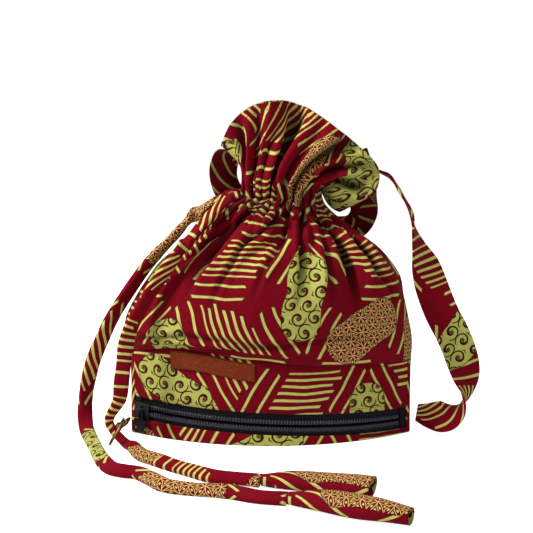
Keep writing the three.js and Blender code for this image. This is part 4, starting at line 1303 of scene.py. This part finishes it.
class TOTE_OT_strands(bpy.types.Operator):
    """Builds the two strands of the drawcord and their open cloth ends"""

    bl_idname = "tote.strands"
    bl_label = "Drawcord strands"

    def execute(self, context):
        cotton = printed_cotton()
        for name, node, stations in (
            ("rear_end", "cord_end_rear",
             [(-7, -149.4, 5.4, 10, 8.6), (14, -154, 6.4, 21.5, 12), (45, -162, 6.8, 27.5, 13.2),
              (74, -172, 7, 28.5, 13.6)]),
            ("front_end", "cord_end_front",
             [(12, -189.3, 5.4, 10, 8.6), (38, -200, 6.8, 23.5, 13), (68, -216, 7.2, 25.5, 14.2),
              (96, -229, 6.2, 14.5, 12)]),
        ):
            full = [[*s, -0.3, 0.95, 0.05] for s in stations]
            tube, _, _ = flat_tube(name, full, 50, 40, puff=2.2, ripple=0.06, seed=2.4, caps=False)
            thicken(tube, 1.0)
            finish_piece(tube, cotton, "printed_cotton", node)
        for name, node, route, end, seed in (
            ("strand_rear", "drawstring_rear", STRAND_REAR, "cord_end_rear", 1.0),
            ("strand_front", "drawstring_front", STRAND_FRONT, "cord_end_front", 3.0),
        ):
            stations = strand_stations(route, STRAND_WIDTH, STRAND_THICKNESS)
            piece, centre, length = flat_tube(name, stations, 300, 24, puff=3.2, ripple=0.16, seed=seed)
            finish_piece(piece, cotton, "printed_cotton", node)
            [v * MM for v in centre[0]]
            length * MM
            (centre * MM).tolist()
        return {"FINISHED"}


def neck_oval(angle, inset, z):
    """Points round the inside of the neck, at a distance from its outer oval."""
    x = NECK_X + (NECK_HALF[0] - inset) * np.cos(angle)
    y = (NECK_HALF[1] - inset) * np.sin(angle)
    return np.stack([x, y, np.broadcast_to(z, x.shape)], axis=-1)


STRAP_ROOT = rim_line(np.array([math.pi * 1.812]))[0]
SHOULDER = [
    ([STRAP_ROOT[0] + 1.4, 2, STRAP_ROOT[2]], [0.3, 1, -0.2]),
    ([STRAP_ROOT[0] + 10.3, 2, STRAP_ROOT[2] - 5], [0.2, 1, -0.3]),
    ([STRAP_ROOT[0] + 18.8, 2, STRAP_ROOT[2] - 17], [0.1, 1, 0]),
    ([STRAP_ROOT[0] + 27.8, 2, STRAP_ROOT[2] - 33], [0, 1, 0]),
    ([121, 3, 176], [0.15, 1, 0]), ([126, 2, 160], [0.5, 0.9, 0]),
    ([132, 1, 143], [0.85, 0.5, 0.2]), ([138, 0, 124], [1, 0.15, 0.2]), ([146, 0, 104], [1, 0, 0.4]),
    ([156, 0, 85], [1, 0, 0.4]), ([163, 0, 68], [1, 0.1, 0.3]), ([168, -1, 50], [0.9, 0.5, 0.2]),
    ([168, -4, 34], [0.5, 0.9, 0]), ([162, -8, 22], [0.2, 1, 0.3]), ([150, -10, 15.5], [0.1, 0.7, 0.8]),
    ([137, -8, 15.3], [0, 0.1, 1]), ([126, -4, 17], [0, 0, 1]),
]
HANDLE = [
    ([-29, 13, 245], [0.6, -0.15, 0.7]), ([-38, 19, 235], [0.9, 0, 0.3]), ([-41, 30, 219], [1, 0, 0]),
    ([-36, 34, 204], [0.9, 0.1, 0.4]), ([-22, 42, 190], [0.4, 0.1, 0.9]), ([0, 50, 180], [0.1, -0.2, 1]),
    ([26, 53, 174], [0, -0.3, 1]), ([52, 49, 170], [-0.2, -0.2, 1]), ([72, 42, 172], [-0.7, 0, 0.7]),
    ([81, 36, 184], [-1, 0, 0.1]), ([80, 29, 199], [-1, 0, -0.1]), ([78, 24, 219], [-0.9, 0, -0.2]),
    ([71, 20, 239], [-0.8, 0, -0.5]),
]


class TOTE_OT_straps(bpy.types.Operator):
    """Builds the shoulder strap and the carrying handle"""

    bl_idname = "tote.straps"
    bl_label = "Straps"

    def execute(self, context):
        cotton = printed_cotton()
        # The handle gets a darker copy of the cotton: painted shade for where it lies in the shadow under the
        # mouth.
        shade = printed_cotton("printed cotton shade", 0.55)
        for name, node, stations, width, look, seed in (
            ("shoulder_strap_cloth", "shoulder_strap", SHOULDER, STRAP_WIDTH, cotton, 5.0),
            ("handle_cloth", "carry_handle", HANDLE, HANDLE_WIDTH, shade, 7.0),
        ):
            full = [[*at, width, STRAP_THICKNESS, *across] for at, across in stations]
            if node == "shoulder_strap":
                full[-2][3], full[-1][3] = 23, 15
                full[0][3], full[1][3] = 13, 18
            piece, _, _ = flat_tube(name, full, 220, 28, puff=7, ripple=0.1, seed=seed)
            finish_piece(piece, look, "printed_cotton", node)
        return {"FINISHED"}


def ring_and_tab():
    """The ring of wire and the folded tab that holds it."""
    brass = smooth_solid("antique brass", srgb(128, 100, 58), 0.38, 500, 0.08, metallic=1.0, wear=0.45)
    a = np.arange(72) / 72 * TAU
    local = np.stack([np.zeros(72), RING_RADIUS * np.cos(a), RING_RADIUS * np.sin(a)], axis=1)
    c, s = math.cos(RING_LEAN), math.sin(RING_LEAN)
    turn = np.array([[c, 0, s], [0, 1, 0], [-s, 0, c]])
    ring = tube_mesh("brass_ring", local @ turn.T + RING_CENTRE, 1.0, 14, closed=True)
    finish_piece(ring, brass, "antique_brass", "corner_ring", body="ring")
    bend = np.radians(np.linspace(0, -180, 13))
    eye = np.stack([2.4 * np.cos(bend), RING_RADIUS + 2.4 * np.sin(bend)], axis=1)
    ply = np.array([[6.3, 43.0], [4.9, 34.5], [3.1, 25.0], [1.35, 16.5], [1.5, 14.6]])
    path = np.concatenate([ply, eye, (ply * [-1, 1])[::-1]])
    path[len(ply) + len(eye):, 0] = [-1.5, -0.05, 1.75, 3.55, 4.9]
    points = np.stack([path[:, 0], path[:, 1], np.zeros(len(path))], axis=1) @ turn.T + RING_CENTRE
    across = turn @ np.array([0.0, 0.0, 1.0])
    stations = [[*at, TAB_WIDTH, 1.1, *across] for at in points]
    tab, _, _ = flat_tube("ring_tab_cloth", stations, 160, 20, puff=6, ripple=0.05, seed=4.0)
    finish_piece(tab, printed_cotton(), "printed_cotton", "ring_tab")


def neck_cord_and_casing():
    """The loop of cord inside the neck and the channel that holds it."""
    lining = shaded_lining()
    a = np.arange(180) / 180 * TAU
    inset = CORD_INSET + 0.12 * np.sin(a * 40)
    radius = 2.3 + 0.1 * np.sin(a * 60)
    cord = tube_mesh("neck_cord", neck_oval(a, inset, NECK_Z), radius, 14, closed=True)
    finish_piece(cord, lining, "lining_cotton", "drawcord")
    a = np.linspace(0, TAU, 241)[None, :]
    z = np.linspace(-CASING_HALF, CASING_HALF, 17)[:, None]
    from_edge = CASING_HALF - np.abs(z)
    inset = (CORD_INSET - 2.5 + 5.3 * np.clip(from_edge / 5.5, 0, 1)
             + 0.35 * (1 + np.sin(a * 22)) * np.clip(from_edge / 6, 0, 1))
    uv = np.stack(np.broadcast_arrays(a * 0.025, z * MM), axis=-1)
    piece = sheet_piece("casing_cloth", neck_oval(a, inset, NECK_Z + z), uv, 0.9)
    finish_piece(piece, lining, "lining_cotton", "drawcord_casing")


class TOTE_OT_hardware(bpy.types.Operator):
    """Builds the ring with its tab, the cord in the neck and the metal of the slider and pull"""

    bl_idname = "tote.hardware"
    bl_label = "Ring, slider and pull"

    def execute(self, context):
        ring_and_tab()
        black = smooth_solid("black metal", srgb(22, 22, 26), 0.36, 700, 0.05, metallic=0.6)
        for node in ("zipper_slider", "zipper_pull"):
            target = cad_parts[node]
            target.data.materials.clear()
            target.data.materials.append(black)
        neck_cord_and_casing()
        return {"FINISHED"}


class TOTE_PT_panel(bpy.types.Panel):
    """Lists the bag's settings and its building steps"""

    bl_label = "Tote Bag"
    bl_idname = "TOTE_PT_panel"
    bl_space_type = "VIEW_3D"
    bl_region_type = "UI"
    bl_category = "Tote Bag"

    def draw(self, context):
        for group in (context.scene.tote_cloth, context.scene.tote_zipper, context.scene.tote_stage):
            for name in group.bl_rna.properties.keys():
                if name not in {"rna_type", "name"}:
                    self.layout.prop(group, name)
        for step in STEPS:
            self.layout.operator(step.bl_idname)


STEPS = (TOTE_OT_stage, TOTE_OT_strands, TOTE_OT_body, TOTE_OT_base, TOTE_OT_zipper, TOTE_OT_label,
         TOTE_OT_straps, TOTE_OT_hardware)
CLASSES = (ClothSettings, ZipperSettings, StageSettings, *STEPS, TOTE_PT_panel)


def register():
    for cls in CLASSES:
        bpy.utils.register_class(cls)
    bpy.types.Scene.tote_cloth = PointerProperty(type=ClothSettings)
    bpy.types.Scene.tote_zipper = PointerProperty(type=ZipperSettings)
    bpy.types.Scene.tote_stage = PointerProperty(type=StageSettings)


def unregister():
    del bpy.types.Scene.tote_cloth
    del bpy.types.Scene.tote_zipper
    del bpy.types.Scene.tote_stage
    for cls in reversed(CLASSES):
        bpy.utils.unregister_class(cls)


def main():
    register()
    for step in STEPS:
        area, name = step.bl_idname.split(".")
        if getattr(getattr(bpy.ops, area), name)() != {"FINISHED"}:
            raise RuntimeError(f"{step.bl_label} didn't finish")
    bpy.context.scene.view_settings.view_transform = "Standard"
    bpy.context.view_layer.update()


if __name__ == "__main__":
    main()
